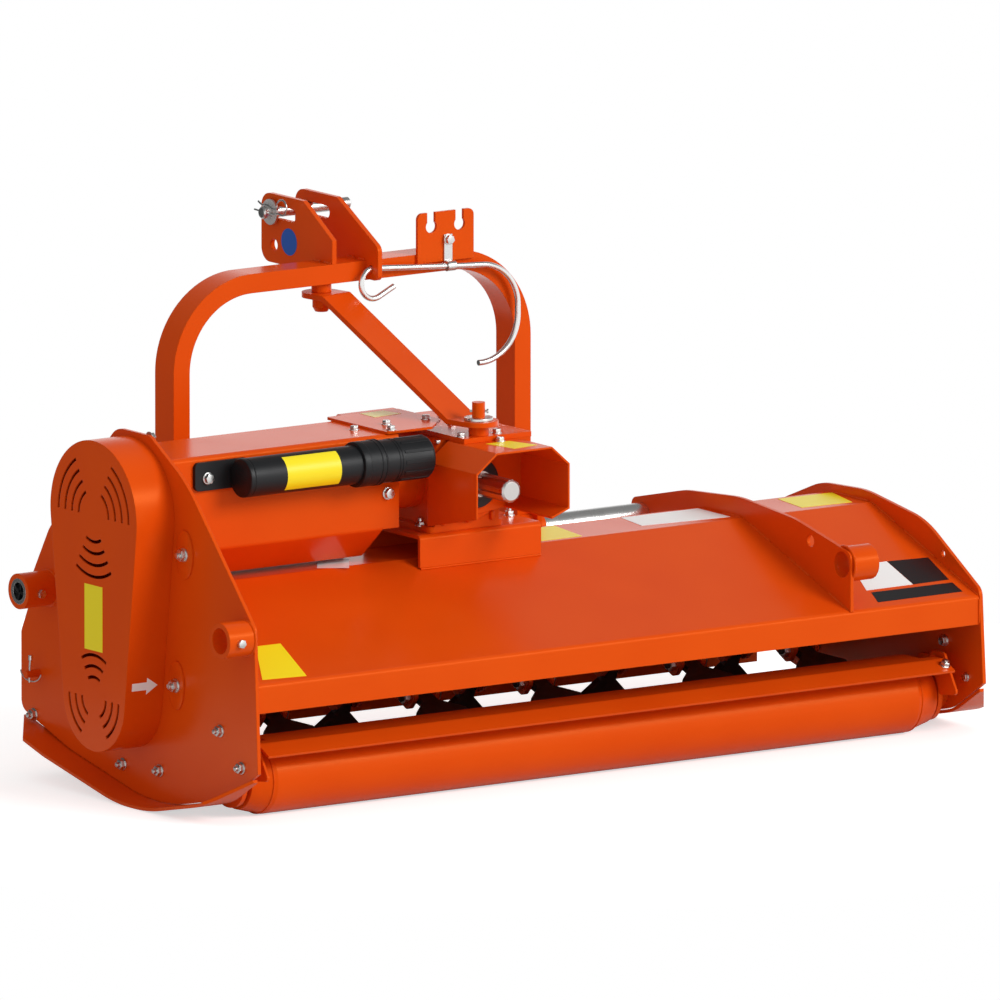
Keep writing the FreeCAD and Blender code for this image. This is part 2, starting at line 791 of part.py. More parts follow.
def vents(high, outer, pitch, count, first):
    """Curved slots through the cover's face: rings kept inside three wedges."""
    low = -(s.half_width + s.cover_depth) - 1
    deep = s.cover_wall + 2
    radii = [outer - pitch * index for index in range(count)]
    edges = [(s.rotor_y, high, radius + s.vent * side) for radius in radii for side in (0.5, -0.5)]
    reach = outer * 1.4
    wedges = []
    for turn in range(first, first + 360, 120):
        ends = [math.radians(angle) for angle in (turn, turn + 60)]
        wedges.append(slab("side", low, deep, [(s.rotor_y, high)] + [
            (s.rotor_y + reach * math.cos(end), high + reach * math.sin(end)) for end in ends]))
    return common(slab("side", low, deep, rings=edges), group(*wedges))


def belt_cover():
    body = doc.addObject("PartDesign::Body", "body")
    sketch = sketch_in(body, "side", -(s.half_width + s.cover_depth))
    lobes(sketch, s.upper_lobe, s.lower_lobe)
    pad = body.newObject("PartDesign::Pad", "pad")
    pad.Profile = sketch
    bind(pad, Length=s.cover_depth)
    sketch = sketch_in(body, "side", -s.half_width)
    lobes(sketch, s.upper_lobe - s.cover_wall, s.lower_lobe - s.cover_wall)
    hollow = body.newObject("PartDesign::Pocket", "hollow")
    hollow.Profile = sketch
    bind(hollow, Length=s.cover_depth - s.cover_wall)
    slots = group(vents(s.upper_z, s.upper_lobe - 22, s.vent * 3.6, 4, 0),
                  vents(s.rotor_z, s.lower_lobe - 17, s.vent * 3.4, 3, 60))
    node(cut(body, slots), "belt_cover")


# ---------------------------------------------------------------- drive

def drive_housing():
    end = s.housing_right_x
    low = s.crown_z + s.housing_lift
    knee = (s.housing_front_y, s.housing_knee_z)
    round_off = [(s.housing_front_y, s.housing_top_z, s.housing_bend),
                 (s.housing_back_y, s.housing_top_z, s.housing_bend), (s.housing_back_y, low)]
    flap = s.housing_knee_z - low
    hooded = folded("side", -inside, inside + end - s.housing_flap_short, s.housing_wall,
                    [(s.housing_front_y + flap * 1.15, low), (*knee, s.housing_bend)] + round_off)
    open_end = folded("side", end - s.housing_flap_short, s.housing_flap_short, s.housing_wall, [knee] + round_off)
    closing = slab("side", end - s.housing_wall, s.housing_wall, [
        knee, (s.housing_front_y, s.housing_top_z, s.housing_bend),
        (s.housing_back_y, s.housing_top_z, s.housing_bend), (s.housing_back_y, s.housing_knee_z)])
    node(fuse(hooded, open_end, closing), "drive_housing")
    shaft = (s.rotor_y, s.upper_z)
    gear_left = s.gear_x - s.gear_half_width - s.side_boss
    node(tube("side", s.housing_right_x, gear_left - s.housing_right_x, shaft, s.shaft_tube), "shaft_tube")
    node(slab("plan", s.housing_top_z, s.lid_sheet, [
        (s.lid_left_x, s.lid_front_y, s.lid_sheet), (s.lid_right_x - s.lid_corner, s.lid_front_y),
        (s.lid_right_x, s.lid_front_y + s.lid_corner), (s.lid_right_x, s.lid_back_y, s.lid_sheet),
        (s.lid_left_x, s.lid_back_y, s.lid_sheet)]), "housing_lid")


def gearbox():
    left, right = s.gear_x - s.gear_half_width, s.gear_x + s.gear_half_width
    near, far = s.rotor_y - s.gear_half_depth, s.rotor_y + s.gear_half_depth
    core = slab("rear", near, far - near, [
        (left, s.gear_low_z), (right, s.gear_low_z), (right, s.gear_top_z, s.gear_round),
        (left, s.gear_top_z, s.gear_round)])
    over = s.gear_foot_over
    foot = slab("plan", s.gear_low_z - s.gear_foot, s.gear_foot + 2, [
        (left - over, near, over), (right + over, near, over), (right + over, far, over), (left - over, far, over)])
    sides = tube("side", left - s.side_boss, right - left + s.side_boss * 2, (s.rotor_y, s.upper_z), s.shaft_tube)
    reach = s.gear_half_depth + s.nose_depth
    end = reach + s.seal_depth
    noses = turned("side", (s.gear_x, s.upper_z), [
        (s.rotor_y - end, zero), (s.rotor_y - end, s.seal_radius), (s.rotor_y - reach, s.seal_radius),
        (s.rotor_y - reach, s.nose_radius), (s.rotor_y + reach, s.nose_radius), (s.rotor_y + reach, s.seal_radius),
        (s.rotor_y + end, s.seal_radius), (s.rotor_y + end, zero)])
    bore = tube("rear", s.rotor_y - end, end * 2, (s.gear_x, s.upper_z), s.shaft_radius + s.fit)
    node(cut(fuse(core, foot, sides, noses), bore), "gearbox")
    node(slab("plan", s.gear_top_z, s.deck_plate, [
        (s.deck_plate_left, s.rotor_y - s.deck_plate_over), (s.deck_plate_right, s.rotor_y - s.deck_plate_over),
        (s.deck_plate_right, s.rotor_y + s.deck_plate_over), (s.deck_plate_left, s.rotor_y + s.deck_plate_over)]),
        "gearbox_top_plate")
    foot_z = s.gear_low_z - s.gear_foot
    slope = (s.crown_z - s.hood_edge_z) / (s.crown_y - s.hood_rear_y)
    toe_z = s.hood_edge_z + (s.pedestal_front_y - s.hood_rear_y) * slope + s.pedestal_lift
    node(folded("side", s.pedestal_left_x, s.pedestal_right_x - s.pedestal_left_x, s.pedestal_sheet, [
        (s.pedestal_front_y, toe_z), (s.pedestal_front_y, foot_z, s.hood_bend),
        (s.brow_y, foot_z, s.hood_bend), (s.brow_y, s.crown_z)]), "gearbox_pedestal")


def pto_guards():
    top = s.gear_top_z
    path = [(s.guard_left_x, s.guard_low_z - s.guard_drop), (s.guard_left_x, s.guard_knee_z),
            (s.guard_left_x + s.guard_chamfer_left, top), (s.guard_right_x - s.guard_chamfer_right, top),
            (s.guard_right_x, s.guard_knee_z), (s.guard_right_x, s.guard_low_z), (s.guard_turn_x, s.guard_turn_z)]
    face = s.gear_half_depth + s.nose_depth
    long = s.guard_reach - face
    for name, sign, low, flange in (("rear", -1, s.rotor_y - s.guard_reach, s.rotor_y - face - s.guard_flange),
                                    ("front", 1, s.rotor_y + face, s.rotor_y + face)):
        shell = folded("rear", low, long, s.guard_sheet, path)
        back = slab("rear", flange, s.guard_flange, path, rings=[(s.gear_x, s.upper_z, s.seal_radius + 1)])
        mouth, root = s.rotor_y + (s.guard_reach + 1) * sign, s.rotor_y + face * sign
        lower = s.guard_low_z - s.guard_drop
        slant = slab("side", s.guard_left_x - 1, s.guard_sheet + 2, [
            (mouth, lower - 1), (root, lower - 1), (root, lower), (mouth, s.guard_low_z)])
        node(cut(fuse(shell, back), slant), f"pto_guard_{name}")


def pto_shaft():
    centre = (s.gear_x, s.upper_z)
    middle = s.shaft_reach - s.spline_long
    body = tube("rear", s.rotor_y - middle, middle * 2, centre, s.shaft_radius)
    parts = [body]
    for low in (s.rotor_y - s.shaft_reach, s.rotor_y + middle):
        stub = tube("rear", low, s.spline_long, centre, s.spline_root)
        sketch = sketch_in(stub, "rear", low, across=s.gear_x, up=s.upper_z)
        half = s.spline_tooth / 2
        draw(sketch, [(-half, zero), (half, zero), (half, s.spline_radius), (-half, s.spline_radius)])
        tooth = stub.newObject("PartDesign::Pad", "tooth")
        tooth.Profile = sketch
        tooth.Reversed = True
        bind(tooth, Length=s.spline_long)
        teeth = stub.newObject("PartDesign::PolarPattern", "teeth")
        teeth.Originals = [tooth]
        teeth.Axis = (sketch, ["N_Axis"])
        teeth.Angle = 360
        teeth.Occurrences = 6
        stub.Tip = teeth
        parts.append(stub)
    node(fuse(*parts), "pto_shaft")


# ---------------------------------------------------------------- rotor, roller, flap

STATIONS = range(-2, 18)
FIRST_ROW = 130    # degrees from upright, turned backwards
TRAIL = 20         # how far a flail lags behind its lugs


def station_x(index):
    """Where a flail hangs: the spacing changes every fourth station."""
    wide = 4 * (index // 8) + min(index % 8, 4)
    return s.half_width * (s.station_wide * wide + s.station_close * (index - wide) - s.station_first)


def about_rotor(piece, index):
    """Turn a piece drawn upright to its station's angle, and move it along the rotor."""
    piece.Placement.Rotation = Rotation(Vector(1, 0, 0), FIRST_ROW - 90 * index)
    bind(piece, Placement__Base__x=station_x(index))
    return piece


def rotor():
    tube_end = inside - s.bearing_depth - s.rotor_gap
    shaft_end = s.half_width + s.shaft_out
    far_end = s.half_width - s.shaft_in
    drum = turned("rear", (zero, zero), [
        (-shaft_end, zero), (-shaft_end, s.rotor_shaft), (-tube_end, s.rotor_shaft), (-tube_end, s.rotor_radius),
        (tube_end, s.rotor_radius), (tube_end, s.rotor_shaft), (far_end, s.rotor_shaft), (far_end, zero)])
    lug_outline = [(-s.lug_root, s.rotor_radius * 0.8), (s.lug_root, s.rotor_radius * 0.8),
                   (s.lug_round, s.pivot_radius + s.lug_round, s.lug_round * 0.7),
                   (-s.lug_round, s.pivot_radius + s.lug_round, s.lug_round * 0.7)]
    eye = (zero, s.pivot_radius, s.bolt_radius + s.fit)
    lugs = []
    flails = []
    for index in STATIONS:
        for low in (-s.lug_gap / 2 - s.lug_sheet, s.lug_gap / 2):
            lug = slab("side", low, s.lug_sheet, lug_outline, rings=[eye])
            lugs.append(about_rotor(lug, index))
        blade = slab("rear", -s.flail_sheet / 2, s.flail_sheet, [
            (-s.flail_neck, -s.flail_eye), (s.flail_neck, -s.flail_eye), (s.flail_neck, s.flail_shoulder),
            (s.flail_edge, s.flail_tip - s.flail_lip), (s.flail_edge, s.flail_tip), (-s.flail_edge, s.flail_tip),
            (-s.flail_edge, s.flail_tip - s.flail_lip), (-s.flail_neck, s.flail_shoulder)])
        blade.Placement.Rotation = Rotation(Vector(1, 0, 0), -TRAIL)
        bind(blade, Placement__Base__z=s.pivot_radius)
        grip = s.lug_gap / 2 + s.lug_sheet + s.bolt_over
        bolt = tube("side", -grip, grip * 2, (zero, s.pivot_radius), s.bolt_radius)
        flails.append(about_rotor(fuse(blade, bolt), index))
    for piece, label in ((fuse(drum, *lugs), "rotor_drum"), (group(*flails), "flails")):
        node(piece, label)
        bind(piece, Placement__Base__y=frame_y + s.rotor_y, Placement__Base__z=s.rotor_z)


def roller():
    wall = s.roller_wall
    stub = inside - 5
    body = turned("rear", (s.roller_y, s.roller_radius), [
        (-stub, zero), (-stub, s.axle_radius), (-roller_cone, s.axle_radius),
        (-roller_cone, s.roller_end_radius), (-roller_half, s.roller_radius),
        (roller_half, s.roller_radius), (roller_cone, s.roller_end_radius), (roller_cone, s.axle_radius),
        (stub, s.axle_radius), (stub, zero), (roller_cone - wall, zero),
        (roller_cone - wall, s.roller_end_radius - wall), (roller_half, s.roller_radius - wall),
        (-roller_half, s.roller_radius - wall), (wall - roller_cone, s.roller_end_radius - wall),
        (wall - roller_cone, zero)])
    node(body, "roller")


def front_flap():
    out = s.half_width + s.flap_rod_out
    node(tube("side", -out, out * 2, flap_axis, s.flap_rod), "flap_rod")
    end = inside - s.flap_side_gap
    barrel = tube("side", -end, end * 2, flap_axis, s.flap_barrel, s.flap_rod + s.fit)
    panel = slab("side", -end, end * 2, [
        (s.flap_y - s.flap_sheet / 2, s.flap_low_z), (s.flap_y + s.flap_sheet / 2, s.flap_low_z),
        (s.flap_y + s.flap_sheet / 2, s.flap_z - s.flap_rod - 1),
        (s.flap_y - s.flap_sheet / 2, s.flap_z - s.flap_rod - 1)])
    node(fuse(barrel, panel), "front_flap")


# ---------------------------------------------------------------- headstock

def piped(plane, depth, path, section):
    """A body swept along a path; `section` draws its section at the path's start."""
    body = doc.addObject("PartDesign::Body", "body")
    spine = sketch_in(body, plane, depth)
    draw(spine, path, closed=False)
    doc.recompute()
    profile = body.newObject("Sketcher::SketchObject", "section")
    profile.AttachmentSupport = [(spine, "Vertex1"), (spine, "Edge1")]
    profile.MapMode = "NormalToEdge"
    section(profile)
    pipe = body.newObject("PartDesign::AdditivePipe", "pipe")
    pipe.Profile = profile
    pipe.Spine = (spine, [f"Edge{index + 1}" for index in range(len(spine.Shape.Edges))])
    return body


def head_frame():
    half = s.head_half - s.head_tube / 2
    top = s.head_top_z - s.head_tube / 2
    round_off = s.head_round - s.head_tube / 2

    def band(inset, low, deep):
        grow = s.head_tube / 2 - inset
        outer = [(s.head_x - half - grow, s.bar_z), (s.head_x - half - grow, top + grow, round_off + grow),
                 (s.head_x + half + grow, top + grow, round_off + grow), (s.head_x + half + grow, s.bar_z),
                 (s.head_x + half - grow, s.bar_z), (s.head_x + half - grow, top - grow, round_off - grow),
                 (s.head_x - half + grow, top - grow, round_off - grow), (s.head_x - half + grow, s.bar_z)]
        return slab("rear", low, deep, outer)

    wall = s.head_tube_wall
    tube_body = cut(band(zero, head_face, s.head_tube_deep), band(wall, head_face + wall, s.head_tube_deep - wall * 2))
    notch = tube("side", s.head_x - s.head_half - 1, s.head_half * 2 + 2, bar, s.sleeve_radius + s.fit)
    node(cut(tube_body, notch), "head_frame")


def link_brackets():
    pin = (s.link_y, s.bar_z)
    nose = s.bracket_nose
    near, far = s.head_y - s.head_tube_deep / 2, s.head_y + s.head_tube_deep / 2
    outline = [(near - 8, s.bracket_top_z, s.corner / 2), (far, s.bracket_top_z, s.corner / 2),
               (s.link_y + nose, s.bar_z + nose + 12, nose), (s.link_y + nose, s.bar_z - nose, nose * 0.9),
               (s.bar_y - 32, s.bar_z - 32, s.sleeve_radius * 0.9), (s.bar_y - 32, s.bar_z + 40, s.sleeve_radius * 0.9)]
    holes = [(*bar, s.bar_radius + s.fit), (*pin, s.link_shank + s.fit)]
    for name, sign in SIDES:
        outer = s.head_x + s.head_half * sign
        low = outer if sign < 0 else outer - s.head_tube
        outer_plate = slab("side", low - s.bracket, s.bracket, outline, rings=holes)
        inner_plate_piece = slab("side", low + s.head_tube, s.bracket, outline, rings=holes)
        over = s.bracket + s.sleeve_over
        sleeve = tube("side", low - over, s.head_tube + over * 2, bar, s.sleeve_radius, s.bar_radius + s.fit)
        node(fuse(outer_plate, inner_plate_piece, sleeve), f"link_bracket_{name}")
        out_end = (low - s.bracket - s.link_pin_out) if sign < 0 else (low + s.head_tube + s.bracket + s.link_pin_out)
        nut_face = (low + s.head_tube + s.bracket) if sign < 0 else (low - s.bracket)
        nut_end = nut_face - 14 * sign
        shoulder = out_end - s.link_pin_out * sign
        corners = [(out_end, zero), (out_end, s.link_pin), (shoulder, s.link_pin), (shoulder, s.link_shank),
                   (nut_face, s.link_shank), (nut_face, s.link_nut), (nut_end, s.link_nut), (nut_end, zero)]
        node(turned("rear", pin, corners), f"link_pin_{name}")


def top_link():
    tube_near, tube_far = s.head_y - s.head_tube_deep / 2, s.head_y + s.head_tube_deep / 2
    soft = s.corner / 2
    top_z, foot_z, near_z = s.head_top_z + s.ear_over, s.head_top_z - s.ear_under, s.head_top_z - s.ear_near_under
    ridge = [(s.ear_far_y, foot_z, s.corner * 1.1), (s.ear_far_y, top_z, s.corner * 1.1),
             (s.ear_knee_y, top_z, s.corner * 0.75)]
    foot = [(tube_far, s.head_top_z), (tube_far, foot_z)]
    left_edge = [(tube_near, top_z - s.ear_fall), (tube_near, s.head_top_z)]
    right_edge = [(s.ear_near_y, near_z + s.ear_near_high, s.corner * 0.75), (s.ear_near_y, near_z, soft),
                  (tube_near, near_z), (tube_near, s.head_top_z)]
    slot_z = top_z - s.ear_slot_drop
    slot = (s.ear_slot_near_y, s.ear_slot_far_y, slot_z, s.ear_slot)
    hole = (s.ear_slot_far_y, slot_z - s.ear_hole_drop, s.ear_hole)
    right_x = s.ear_left_x + s.ear + s.ear_gap
    node(slab("side", s.ear_left_x, s.ear, ridge + left_edge + foot, rings=[hole], slots=[slot]), "top_link_ear_left")
    node(slab("side", right_x, s.ear, ridge + right_edge + foot,
              rings=[hole, (rod_y, rod_height(right_x + s.ear / 2), s.rod_hole)], slots=[slot]), "top_link_ear_right")
    left = s.ear_left_x
    right = right_x + s.ear
    gap = s.top_washer_gap
    end = right + s.top_pin_right
    node(turned("rear", (s.ear_slot_far_y, slot_z), [
        (left - s.top_pin_left, zero), (left - s.top_pin_left, s.top_pin - 2), (left - s.top_pin_left + 2, s.top_pin),
        (left - gap - s.top_washer_sheet, s.top_pin), (left - gap - s.top_washer_sheet, s.top_washer),
        (left - gap, s.top_washer), (left - gap, s.top_pin), (end - 4, s.top_pin), (end, s.top_pin - 4),
        (end, zero)]), "top_link_pin")


def hose_holder():
    second = s.key_first_x + s.key_pitch
    neck = s.key_neck
    low_z, top_z = s.head_top_z - s.holder_under, s.head_top_z + s.holder_over
    key_z = top_z - s.key_drop
    outline = [(s.holder_left_x, low_z), (s.holder_right_x, low_z), (s.holder_right_x, top_z, s.corner / 2)]
    for key_x in (second, s.key_first_x):
        outline += [(key_x + neck, top_z), (key_x + neck, key_z), (key_x - neck, key_z), (key_x - neck, top_z)]
    outline += [(s.holder_left_x, top_z, s.corner / 2)]
    low = head_face - s.holder_sheet
    holder = slab("rear", low, s.holder_sheet, outline)
    pocket(holder, "rear", low, s.holder_sheet,
           rings=[(s.key_first_x, key_z, s.key_radius), (second, key_z, s.key_radius)])
    node(holder, "hose_holder")
    loop = (rod_y, rod_height(s.clamp_left_x + s.clamp_wide / 2))
    strip = slab("rear", low - s.clamp_sheet, s.clamp_sheet, [
        (s.clamp_left_x, loop[1]), (s.clamp_left_x + s.clamp_wide, loop[1]),
        (s.clamp_left_x + s.clamp_wide, s.head_top_z + s.clamp_over), (s.clamp_left_x, s.head_top_z + s.clamp_over)])
    band = tube("side", s.clamp_left_x, s.clamp_wide, loop, s.rod_hole + s.clamp_sheet, s.rod_hole)
    node(cut(fuse(strip, band), tube("side", s.clamp_left_x, s.clamp_wide, loop, s.rod_hole)), "rod_clamp")
    low_z = rod_high_z - s.rod_fall - s.rod_bow
    hook = s.rod_hook_turn
    path = [(s.rod_hook_x, rod_high_z - 33), (rod_left, rod_high_z - hook * 2.7, hook),
            (rod_left, rod_high_z, hook),
            (s.rod_turn_x, rod_high_z - s.rod_fall, s.rod_bow * 0.47), (s.rod_turn_x, low_z, s.rod_bow * 0.47),
            (s.rod_end_x, low_z)]
    node(piped("rear", rod_y, path, lambda sketch: ring(sketch, zero, zero, s.rod_radius)), "hose_rod")


# ---------------------------------------------------------------- brace

def brace():
    upper_z = s.head_top_z - s.brace_under
    offset = s.gear_x - s.brace_upper_x
    run = s.brace_upper_y - s.brace_lower_y
    long = (offset * offset + run * run).root()
    plate_top = s.gear_top_z + s.deck_plate
    post_top = plate_top + s.post_high
    low_z = post_top + s.play
    path = [(long + s.brace_over, low_z), (long - s.brace_tab - 10, low_z), (s.brace_tab, upper_z),
            (-s.brace_over, upper_z)]
    strip = folded("rear", -s.brace_wide / 2, s.brace_wide, s.brace_sheet, path)
    half = s.brace_wide / 2
    far = long + s.brace_over
    outline = slab("plan", low_z - 5, upper_z - low_z + s.brace_sheet + 10, [
        (-s.brace_over, -half, half - 1), (far, -half, half - 1), (far, half, half - 1),
        (-s.brace_over, half, half - 1)])
    drill = group(slab("plan", low_z - 5, s.brace_sheet + 10, slots=[
        (long - s.brace_slot, long + s.brace_slot_fit, zero, s.brace_pin + s.brace_slot_fit)]),
                  tube("plan", upper_z - 5, s.brace_sheet + 10, (zero, zero), s.brace_pin + s.fit))
    piece = cut(common(strip, outline), drill)
    node(piece, "brace_bar")
    bind(piece, Placement__Base__x=frame_x + s.brace_upper_x, Placement__Base__y=frame_y + s.brace_upper_y)
    piece.Placement.Rotation = Rotation(Vector(0, 0, 1), -90 + math.degrees(math.atan2(offset.number, run.number)))
    piece.setExpression("Placement.Rotation.Angle", f"90 deg - atan({offset.formula} / {run.formula})")
    piece.setExpression("Placement.Rotation.Axis.z", "-1")
    # upper pin, hanging from the crossbar
    bar_low = s.head_top_z - s.head_tube
    seat_z = upper_z + s.brace_sheet + s.play
    nut_z = upper_z - s.play
    nut_low = nut_z - s.brace_nut_high
    node(upright(s.brace_upper_x, s.brace_upper_y, [
        (zero, bar_low), (s.post_radius, bar_low), (s.post_radius, seat_z), (s.brace_pin, seat_z),
        (s.brace_pin, nut_z), (s.brace_nut, nut_z), (s.brace_nut, nut_low), (s.brace_nut - 4, nut_low - 7),
        (zero, nut_low - 7)]), "brace_upper_pin")
    # lower post, pin and washer on the gearbox
    eye_top = low_z + s.brace_sheet + s.play
    node(upright(s.gear_x, s.brace_lower_y, [
        (zero, plate_top), (s.post_radius, plate_top), (s.post_radius, post_top), (s.brace_pin, post_top),
        (s.brace_pin, eye_top), (s.post_washer, eye_top), (s.post_washer, eye_top + s.post_washer_sheet),
        (s.brace_pin, eye_top + s.post_washer_sheet), (s.brace_pin, eye_top + s.post_washer_sheet + s.post_tip),
        (zero, eye_top + s.post_washer_sheet + s.post_tip)]), "brace_post")


# ---------------------------------------------------------------- document canister

def canister():
    axis = (s.can_y, s.can_z)
    left = s.can_tab - s.half_width
    shoulder = left + s.can_tab_wide
    end = s.guard_left_x - s.can_gap
    joint = end - s.can_cap_long
    barrel = turned("rear", axis, [
        (shoulder, zero), (shoulder, s.can_radius, s.corner / 8), (joint, s.can_radius), (joint, zero)])
    half = s.can_tab_high / 2
    mid = s.can_z + s.can_tab_lift
    tab = slab("rear", s.housing_front_y - s.can_tab_sheet, s.can_tab_sheet, [
        (left, mid - half, s.corner * 0.4), (shoulder + 20, mid - half),
        (shoulder + 20, mid + half), (left, mid + half, s.corner * 0.4)])
    node(fuse(barrel, tab), "canister_body")
    node(turned("rear", axis, [
        (joint, zero), (joint, s.can_cap), (joint + s.can_collar, s.can_cap), (joint + s.can_collar, s.can_cap - 2),
        (end, s.can_cap - 2, s.corner * 0.3), (end, zero)]), "canister_cap")


def check():
    """Stop on a failed object or a piece that isn't sound."""
    doc.recompute()
    for thing in doc.Objects:
        if "Invalid" in thing.State or "Error" in thing.State:
            raise RuntimeError(f"{thing.Name} ({thing.Label}) failed: {thing.State}")
    for piece in nodes:
        if piece.Shape.isNull() or not piece.Shape.isValid() or not piece.Shape.Solids:
            raise RuntimeError(f"{piece.Label} has no sound shape")


side_plates()
hood()
inner_plate()
skids()
slide_bar()
roller_arms()
scraper()
bearings()
belt_cover()
drive_housing()
gearbox()
pto_guards()
pto_shaft()
rotor()
roller()
front_flap()
head_frame()
link_brackets()
top_link()
hose_holder()
brace()
canister()
check()
os.makedirs("parts", exist_ok=True)
for piece in nodes:
    piece.Shape.exportStep(f"parts/{piece.Label}.step")
print(len(nodes), "pieces")
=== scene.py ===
"""Flail mulcher: finishes, fasteners, pins, labels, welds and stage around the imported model.

Places are in the drawing's millimetres, which spot() brings into the frame. The sizes of small
parts are in metres, as Blender's own are.
"""

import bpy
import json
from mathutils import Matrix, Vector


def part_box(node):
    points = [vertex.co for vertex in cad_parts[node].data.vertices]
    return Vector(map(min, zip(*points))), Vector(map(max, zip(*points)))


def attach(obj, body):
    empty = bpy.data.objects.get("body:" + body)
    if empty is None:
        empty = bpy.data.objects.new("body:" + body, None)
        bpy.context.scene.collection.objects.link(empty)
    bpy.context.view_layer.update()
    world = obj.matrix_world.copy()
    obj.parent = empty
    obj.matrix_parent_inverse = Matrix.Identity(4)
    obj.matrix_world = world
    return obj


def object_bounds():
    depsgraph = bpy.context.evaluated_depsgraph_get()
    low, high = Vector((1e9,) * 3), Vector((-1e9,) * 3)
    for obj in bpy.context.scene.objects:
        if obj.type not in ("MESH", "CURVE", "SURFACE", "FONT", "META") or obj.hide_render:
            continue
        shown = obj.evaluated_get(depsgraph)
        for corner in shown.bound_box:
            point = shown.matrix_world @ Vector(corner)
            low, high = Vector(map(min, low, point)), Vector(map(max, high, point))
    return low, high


bl_info = {
    "name": "Flail Mulcher",
    "version": (1, 0, 0),
    "blender": (4, 5, 0),
    "location": "3D View > Sidebar > Mulcher",
    "description": "Dresses the packed flail mulcher with finishes, fasteners, pins and labels",
    "category": "Object",
}

import json
import math

import bmesh
import bpy
from mathutils import Matrix, Vector

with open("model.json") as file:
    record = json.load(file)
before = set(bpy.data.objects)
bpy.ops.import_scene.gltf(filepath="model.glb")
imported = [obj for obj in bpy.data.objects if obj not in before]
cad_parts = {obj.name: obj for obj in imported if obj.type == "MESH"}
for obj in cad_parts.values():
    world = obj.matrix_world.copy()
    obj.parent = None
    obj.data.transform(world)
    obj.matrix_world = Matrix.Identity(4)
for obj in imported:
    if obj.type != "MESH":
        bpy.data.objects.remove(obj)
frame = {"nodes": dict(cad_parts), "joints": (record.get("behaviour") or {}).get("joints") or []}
CAD_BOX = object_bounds()


# ---------------------------------------------------------------- places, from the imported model

LEFT = Vector((-1, 0, 0))
RIGHT = Vector((1, 0, 0))
REAR = Vector((0, -1, 0))
FRONT = Vector((0, 1, 0))
DOWN = Vector((0, 0, -1))
UP = Vector((0, 0, 1))

LEFT_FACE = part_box("side_plate_left")[0].x
RIGHT_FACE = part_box("side_plate_right")[1].x
MIDDLE = (LEFT_FACE + RIGHT_FACE) / 2
HOOD_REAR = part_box("hood")[0].y
HOOD_REAR_Y = 3            # where the drawing has the hood's rear edge


def spot(x, y, z):
    """The place in the frame of a place in the drawing's millimetres."""
    return Vector((MIDDLE + x / 1000, HOOD_REAR + (y - HOOD_REAR_Y) / 1000, z / 1000))


def drawn(place):
    """The place in the drawing's millimetres of a place in the frame."""
    return Vector((place[0] - MIDDLE, place[1] - HOOD_REAR + HOOD_REAR_Y / 1000, place[2])) * 1000


def corners(node):
    """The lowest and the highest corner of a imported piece, in the drawing's millimetres."""
    return [drawn(corner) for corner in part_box(node)]


def middle_of(node):
    """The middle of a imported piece, in the drawing's millimetres."""
    low, high = corners(node)
    return (low + high) / 2


def joint_place(name):
    """Where a joint's axis passes, in the drawing's millimetres."""
    return drawn(next(joint["pos_m"] for joint in frame["joints"] if joint["name"] == name))


HALF_WIDTH = (RIGHT_FACE - LEFT_FACE) / 2 * 1000    # middle to the outer face of a side plate
INNER_FACE = corners("hood")[1].x                   # and to its inner face, where the hood ends
INNER_PLATE = [corner.x for corner in corners("inner_plate")]    # its two faces

# Y and z of the axes that lie across the machine.
ROTOR = joint_place("rotor_spin")[1:]
ROLLER = joint_place("roller_spin")[1:]
FLAP_ROD = joint_place("flap_swing")[1:]
TOP_LINK = middle_of("top_link_pin")[1:]
BAR = middle_of("slide_bar")[1:]
SEAT = (26, BAR[1])        # spare seat for the bar at the rear
CANISTER = (222, 497)
SHAFT = joint_place("pto_spin")     # a place on the axis of the drive shaft, which lies along Y

HOOD_EDGE_Z = 221          # the hood's slope starts at this height
CROWN_Y = 288              # and turns here into the flat crown
CROWN_Z = corners("hood")[1].z
CROSSBAR_Z = corners("head_frame")[1].z
UPPER_LOBE = 116           # radii of the belt cover's two round ends
LOWER_LOBE = 83


def on_top(node):
    """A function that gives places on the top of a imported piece."""
    top = corners(node)[1].z
    return lambda x, y: spot(x, y, top)


def on_slope(x, y, lift=0.0):
    """A place on the hood's slope, or that much over it."""
    rise = (CROWN_Z - HOOD_EDGE_Z) / (CROWN_Y - HOOD_REAR_Y)
    return spot(x, y, HOOD_EDGE_Z + (y - HOOD_REAR_Y) * rise + lift)


def on_cover(y, z):
    """A place on the belt cover's outer side."""
    return spot(corners("belt_cover")[0].x, y, z)


def on_flank(x, z):
    """A place on the belt cover's rear flank, which runs straight from one round end to the other."""
    lean = (UPPER_LOBE - LOWER_LOBE) / (SHAFT.z - ROTOR[1])
    y = ROTOR[0] - (LOWER_LOBE + lean * (z - ROTOR[1])) / math.sqrt(1 - lean ** 2)
    return spot(x, y, z)


# ---------------------------------------------------------------- what a user may change

def linear(code):
    """An sRGB hex value as Blender's linear colour."""
    values = [int(code[place:place + 2], 16) / 255 for place in (1, 3, 5)]
    return [value / 12.92 if value < 0.04045 else ((value + 0.055) / 1.055) ** 2.4 for value in values] + [1]


def colour(name, code):
    """A colour that a user may change."""
    return bpy.props.FloatVectorProperty(
        name=name, description=f"Colour of the {name.lower()}", subtype="COLOR", size=4, min=0, max=1,
        default=linear(code))


def length(name, description, default):
    """A length that a user may change."""
    return bpy.props.FloatProperty(name=name, description=description, unit="LENGTH", default=default)


